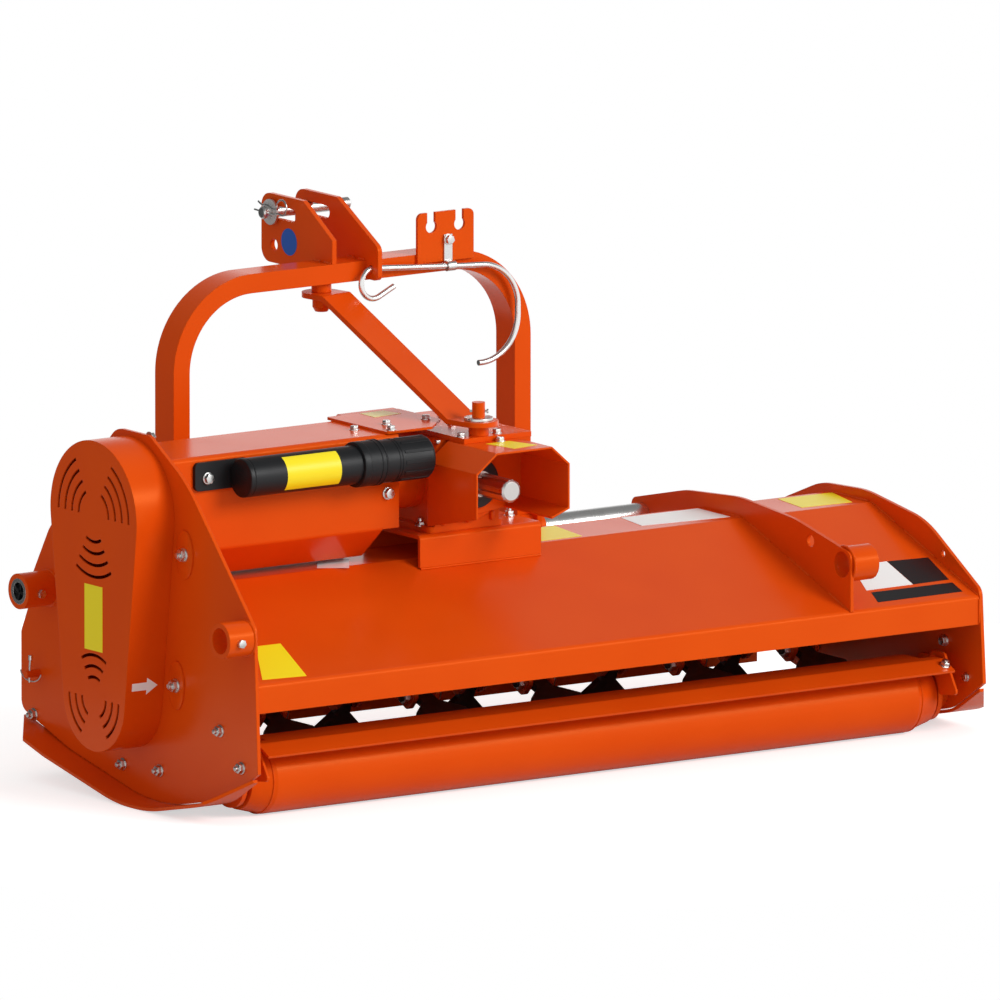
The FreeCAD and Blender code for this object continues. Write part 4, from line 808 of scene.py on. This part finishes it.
class MULCHER_OT_labels(bpy.types.Operator):
    """Stick the blank foils on the machine"""

    bl_idname = "mulcher.labels"
    bl_label = "Labels"

    def execute(self, context):
        on_crown = on_top("hood")
        on_guard = on_top("pto_guard_rear")
        on_lid = on_top("housing_lid")
        foils = {
            "yellow": [
                (on_cover, ((355, 235), (307, 235), (307, 336), (355, 336))),
                (on_slope, ((-655, 17), (-576, 13), (-560, 106), (-606, 106))),
                (on_guard, ((-116, 196), (-105, 136), (-57, 144), (-72, 197))),
                (on_crown, ((59, 297), (135, 297), (152, 395), (76, 395))),
                (on_crown, ((556, 308), (648, 303), (672, 390), (570, 392)))],
            "pale": [
                (on_lid, ((-199, 374), (-146, 379), (-154, 415), (-198, 415)))],
            "white": [
                (on_crown, ((-357, 301), (-317, 273), (-272, 337), (-312, 365))),
                (on_crown, ((262, 318), (419, 305), (421, 394), (276, 394))),
                (on_slope, ((498, 55), (586, 56), (586, 125), (556, 125), (516, 112), (508, 88))),
                (on_flank, ARROW)],
            "black": [
                (on_slope, ((587, 56), (655, 57), (662, 122), (587, 125))),
                (on_slope, ((495, 20), (655, 21), (655, 48), (502, 48)))],
        }
        for tone, sheets in foils.items():
            bm = bmesh.new()
            for where, outline in sheets:
                foil(bm, [where(*corner) for corner in outline])
            if tone == "yellow":
                # One foil lies round the canister's barrel.
                foil_round(bm, spot(-486, *CANISTER), spot(-386, *CANISTER), 0.03005, 24, 114)
            piece(f"foil_{tone}", bm, "chassis", f"vinyl_foil_{tone}")
        bm = bmesh.new()
        disc(bm, spot(corners("top_link_ear_left")[0].x, 658, 763), LEFT, 0.021, sizes().foil, 48)
        piece("foil_blue", bm, "headstock", "vinyl_foil_blue")
        return {"FINISHED"}


class MULCHER_OT_deck_welds(bpy.types.Operator):
    """Run the weld beads that hold the deck's plates together"""

    bl_idname = "mulcher.deck_welds"
    bl_label = "Deck welds"

    def execute(self, context):
        bm = bmesh.new()
        boss = 0.0275
        for axis in (BAR, SEAT):
            bead_round(bm, spot(-HALF_WIDTH, *axis), LEFT, boss, 0.8)
        bead_round(bm, spot(INNER_PLATE[1], *SEAT), RIGHT, boss, 0.8)
        bead_round(bm, spot(INNER_PLATE[1], *BAR), RIGHT, 0.0205, 0.8)
        # Inner plate on the hood, in short runs.
        for x in INNER_PLATE:
            for start, end in ((8, 60), (110, 165), (215, 270)):
                bead(bm, on_slope(x, start), on_slope(x, end), 0.7)
            bead(bm, spot(x, 295, CROWN_Z), spot(x, 340, CROWN_Z), 0.7)
        # Hood to the side plates, half a millimetre over the sheet.
        over = 0.5
        for x in (over - INNER_FACE, INNER_FACE - over):
            for start, end in ((6, 80), (120, 200), (225, 285)):
                bead(bm, on_slope(x, start, over), on_slope(x, end, over), 0.7)
            bead(bm, spot(x, 296, CROWN_Z + over), spot(x, 396, CROWN_Z + over), 0.7)
            bead(bm, spot(x, HOOD_REAR_Y - over, 180), spot(x, HOOD_REAR_Y - over, 217), 0.7)
        # Pedestal on the hood.
        bead(bm, spot(-197, 253.4, 315.6), spot(27, 253.4, 315.6), 0.62)
        for x in (-198, 28):
            bead(bm, spot(x, 403, 329), spot(x, 403, 352), 0.7)
        # Shaft tube in the housing's end.
        bead_round(bm, spot(-235, SHAFT.y, SHAFT.z), RIGHT, 0.0453, 0.8)
        piece("deck_welds", bm, "chassis", "powder_coated_sheet")
        return {"FINISHED"}


class MULCHER_OT_hitch_welds(bpy.types.Operator):
    """Run the weld beads of the headstock"""

    bl_idname = "mulcher.hitch_welds"
    bl_label = "Hitch welds"

    def execute(self, context):
        bm = bmesh.new()
        # Both faces of both ears on the crossbar.
        for ear in ("top_link_ear_left", "top_link_ear_right"):
            for x in (corner.x for corner in corners(ear)):
                for start, end in ((545, 562), (572, 589)):
                    bead(bm, spot(x, start, CROSSBAR_Z + 0.5), spot(x, end, CROSSBAR_Z + 0.5), 0.8)
        # Hose holder on the crossbar's rear face.
        behind = 541.5
        for x in (-3, 97):
            bead(bm, spot(x, behind, 731), spot(x, behind, 743), 0.7)
        for start, end in ((0, 40), (60, 96)):
            bead(bm, spot(start, behind, CROSSBAR_Z), spot(end, behind, CROSSBAR_Z), 0.7)
        # Legs to their brackets, and brackets to their sleeves.
        for bracket in ("link_bracket_left", "link_bracket_right"):
            for sign in (-1, 1):
                x = middle_of(bracket).x + 23 * sign
                bead(bm, spot(x, behind, 330), spot(x, behind, 412), 0.8)
                bead_round(bm, spot(x, *BAR), RIGHT * sign, 0.0303, 0.8)
        # The brace's upper pin under the crossbar.
        bead_round(bm, spot(-164, 567, 713.5), DOWN, 0.0157, 0.8)
        piece("hitch_welds", bm, "headstock", "powder_coated_sheet")
        return {"FINISHED"}


class MULCHER_OT_roller_welds(bpy.types.Operator):
    """Run the weld beads at the roller's coned ends"""

    bl_idname = "mulcher.roller_welds"
    bl_label = "Roller welds"

    def execute(self, context):
        bm = bmesh.new()
        for x, axis in ((-606, LEFT), (606, RIGHT)):
            bead_round(bm, spot(x, *ROLLER), axis, 0.0552, 0.5)
        piece("roller_welds", bm, "roller", "powder_coated_sheet")
        return {"FINISHED"}


# ---------------------------------------------------------------- stage

FLOOR_RADIUS = 1.35        # metres
FLOOR_SHINE = 0.6          # how much white the floor adds to what the camera sees of it
WALL_SHINE = 1.0           # how bright gloss shows the pale wall round the studio,
CEILING_SHINE = 0.22       # the darker ceiling over it,
DARK_SIDE_SHINE = 0.06     # and the left front, where the wall ends, as a share of these
SOFT_LIGHT = 0.55          # what lights the machine from all sides
LAMP_STRENGTH = 1.7
LAMP_ANGLE = 25            # degrees; wide, so that shadows are soft
LAMP_SIDE = Vector((0.35, -0.8, 0.47))
LENS = 1440                # millimetres: long and far away, so that lines hardly converge
SENSOR = 36
AIM = Vector((0.0251, -0.0176, 0.3883))          # what the camera looks at
EYE_SIDE = Vector((-0.5649, -0.8068, 0.1736))    # from where it looks: the left rear, a little from above
EYE_DISTANCE = 61.3


def pale_floor():
    """Matt pale floor that keeps the machine's shadow, and looks white to the camera elsewhere."""
    material = bpy.data.materials.new("pale_floor")
    tree = new_tree(material)
    diffuse = add(tree, "ShaderNodeBsdfDiffuse", {"Color": colours().floor})
    path = add(tree, "ShaderNodeLightPath")
    shown = add(tree, "ShaderNodeMath", {
        0: path.outputs["Is Camera Ray"], 1: path.outputs["Is Transmission Ray"]}, operation="MAXIMUM")
    strength = add(tree, "ShaderNodeMath", {0: shown.outputs["Value"], 1: FLOOR_SHINE}, operation="MULTIPLY")
    white = add(tree, "ShaderNodeEmission", {"Color": (1, 1, 1, 1), "Strength": strength.outputs["Value"]})
    lit = add(tree, "ShaderNodeAddShader", {0: diffuse.outputs["BSDF"], 1: white.outputs["Emission"]})
    add(tree, "ShaderNodeOutputMaterial", {"Surface": lit.outputs["Shader"]})
    return material


def studio():
    """A world that is white to the camera, lights softly, and shows a wall and a ceiling to gloss."""
    world = bpy.data.worlds.new("studio")
    tree = new_tree(world)
    path = add(tree, "ShaderNodeLightPath")
    way = add(tree, "ShaderNodeTexCoord").outputs["Generated"]
    height = add(tree, "ShaderNodeSeparateXYZ", {"Vector": way}).outputs["Z"]
    # The wall fades into the ceiling with height, and into the dark at the left front.
    wall = add(tree, "ShaderNodeMapRange", {
        "Value": height, "From Min": 0.2, "From Max": 0.55, "To Min": WALL_SHINE, "To Max": CEILING_SHINE})
    side = add(tree, "ShaderNodeVectorMath", {0: way, 1: (0.7, -0.7, 0)}, operation="DOT_PRODUCT")
    open_side = add(tree, "ShaderNodeMapRange", {
        "Value": side.outputs["Value"], "From Min": -0.9, "From Max": -0.4, "To Min": DARK_SIDE_SHINE,
        "To Max": 1.0})
    shine = add(tree, "ShaderNodeMath", {0: wall.outputs["Result"], 1: open_side.outputs["Result"]},
                operation="MULTIPLY")
    # Inputs 2 and 3 are the mix's two numbers: for any other ray, and for gloss.
    glossy = add(tree, "ShaderNodeMix", {
        0: path.outputs["Is Glossy Ray"], 2: SOFT_LIGHT, 3: shine.outputs["Value"]}, data_type="FLOAT")
    strength = add(tree, "ShaderNodeMath", {0: path.outputs["Is Camera Ray"], 1: glossy.outputs[0]},
                   operation="MAXIMUM")
    light = add(tree, "ShaderNodeBackground", {"Color": (1, 1, 1, 1), "Strength": strength.outputs["Value"]})
    add(tree, "ShaderNodeOutputWorld", {"Surface": light.outputs["Background"]})
    return world


class MULCHER_OT_stage(bpy.types.Operator):
    """Set the floor, the lights and the camera"""

    bl_idname = "mulcher.stage"
    bl_label = "Stage"

    def execute(self, context):
        scene = context.scene
        bm = bmesh.new()
        bmesh.ops.create_circle(bm, cap_ends=True, segments=96, radius=FLOOR_RADIUS)
        bmesh.ops.translate(bm, verts=bm.verts, vec=(0, 0, CAD_BOX[0][2] - 0.0005))
        mesh = bpy.data.meshes.new("floor")
        bm.to_mesh(mesh)
        bm.free()
        floor = bpy.data.objects.new("floor", mesh)
        floor.data.materials.append(pale_floor())
        scene.collection.objects.link(floor)
        scene.world = studio()

        light = bpy.data.lights.new("studio_lamp", "SUN")
        light.energy = LAMP_STRENGTH
        light.angle = math.radians(LAMP_ANGLE)
        lamp = bpy.data.objects.new("studio_lamp", light)
        lamp.rotation_euler = LAMP_SIDE.to_track_quat("Z", "Y").to_euler()
        scene.collection.objects.link(lamp)

        camera = bpy.data.cameras.new("camera")
        camera.lens = LENS
        camera.sensor_width = SENSOR
        camera.clip_end = 200
        eye = bpy.data.objects.new("camera", camera)
        toward = EYE_SIDE.normalized()
        eye.location = AIM + toward * EYE_DISTANCE
        eye.rotation_euler = toward.to_track_quat("Z", "Y").to_euler()
        scene.collection.objects.link(eye)
        scene.camera = eye
        scene.view_settings.view_transform = "Standard"
        return {"FINISHED"}


# ---------------------------------------------------------------- panel and registration

OPERATORS = (
    MULCHER_OT_finishes, MULCHER_OT_deck_fasteners, MULCHER_OT_cover_tabs, MULCHER_OT_shaft_seals,
    MULCHER_OT_bar_plug, MULCHER_OT_gearbox_details, MULCHER_OT_shaft_ends, MULCHER_OT_flail_nuts,
    MULCHER_OT_hitch_clips, MULCHER_OT_brace_clip, MULCHER_OT_flap_clips, MULCHER_OT_canister_details,
    MULCHER_OT_labels, MULCHER_OT_deck_welds, MULCHER_OT_hitch_welds, MULCHER_OT_roller_welds,
    MULCHER_OT_stage)


class MULCHER_PT_panel(bpy.types.Panel):
    """The mulcher's pieces, sizes and colours"""

    bl_idname = "MULCHER_PT_panel"
    bl_label = "Flail Mulcher"
    bl_space_type = "VIEW_3D"
    bl_region_type = "UI"
    bl_category = "Mulcher"

    def draw(self, context):
        for operator in OPERATORS:
            self.layout.operator(operator.bl_idname)
        for group in (context.scene.mulcher_sizes, context.scene.mulcher_colours):
            box = self.layout.box()
            for name in group.__annotations__:
                box.prop(group, name)


CLASSES = (MulcherColours, MulcherSizes, *OPERATORS, MULCHER_PT_panel)


def register():
    """Make the classes and the scene's groups of values known."""
    for each in CLASSES:
        bpy.utils.register_class(each)
    bpy.types.Scene.mulcher_colours = bpy.props.PointerProperty(type=MulcherColours)
    bpy.types.Scene.mulcher_sizes = bpy.props.PointerProperty(type=MulcherSizes)


def unregister():
    """Take them away again."""
    del bpy.types.Scene.mulcher_colours
    del bpy.types.Scene.mulcher_sizes
    for each in reversed(CLASSES):
        bpy.utils.unregister_class(each)


def main():
    """Make every piece in order."""
    register()
    bpy.ops.mulcher.finishes()
    bpy.ops.mulcher.deck_fasteners()
    bpy.ops.mulcher.cover_tabs()
    bpy.ops.mulcher.shaft_seals()
    bpy.ops.mulcher.bar_plug()
    bpy.ops.mulcher.gearbox_details()
    bpy.ops.mulcher.shaft_ends()
    bpy.ops.mulcher.flail_nuts()
    bpy.ops.mulcher.hitch_clips()
    bpy.ops.mulcher.brace_clip()
    bpy.ops.mulcher.flap_clips()
    bpy.ops.mulcher.canister_details()
    bpy.ops.mulcher.labels()
    bpy.ops.mulcher.deck_welds()
    bpy.ops.mulcher.hitch_welds()
    bpy.ops.mulcher.roller_welds()
    bpy.ops.mulcher.stage()


if __name__ == "__main__":
    main()
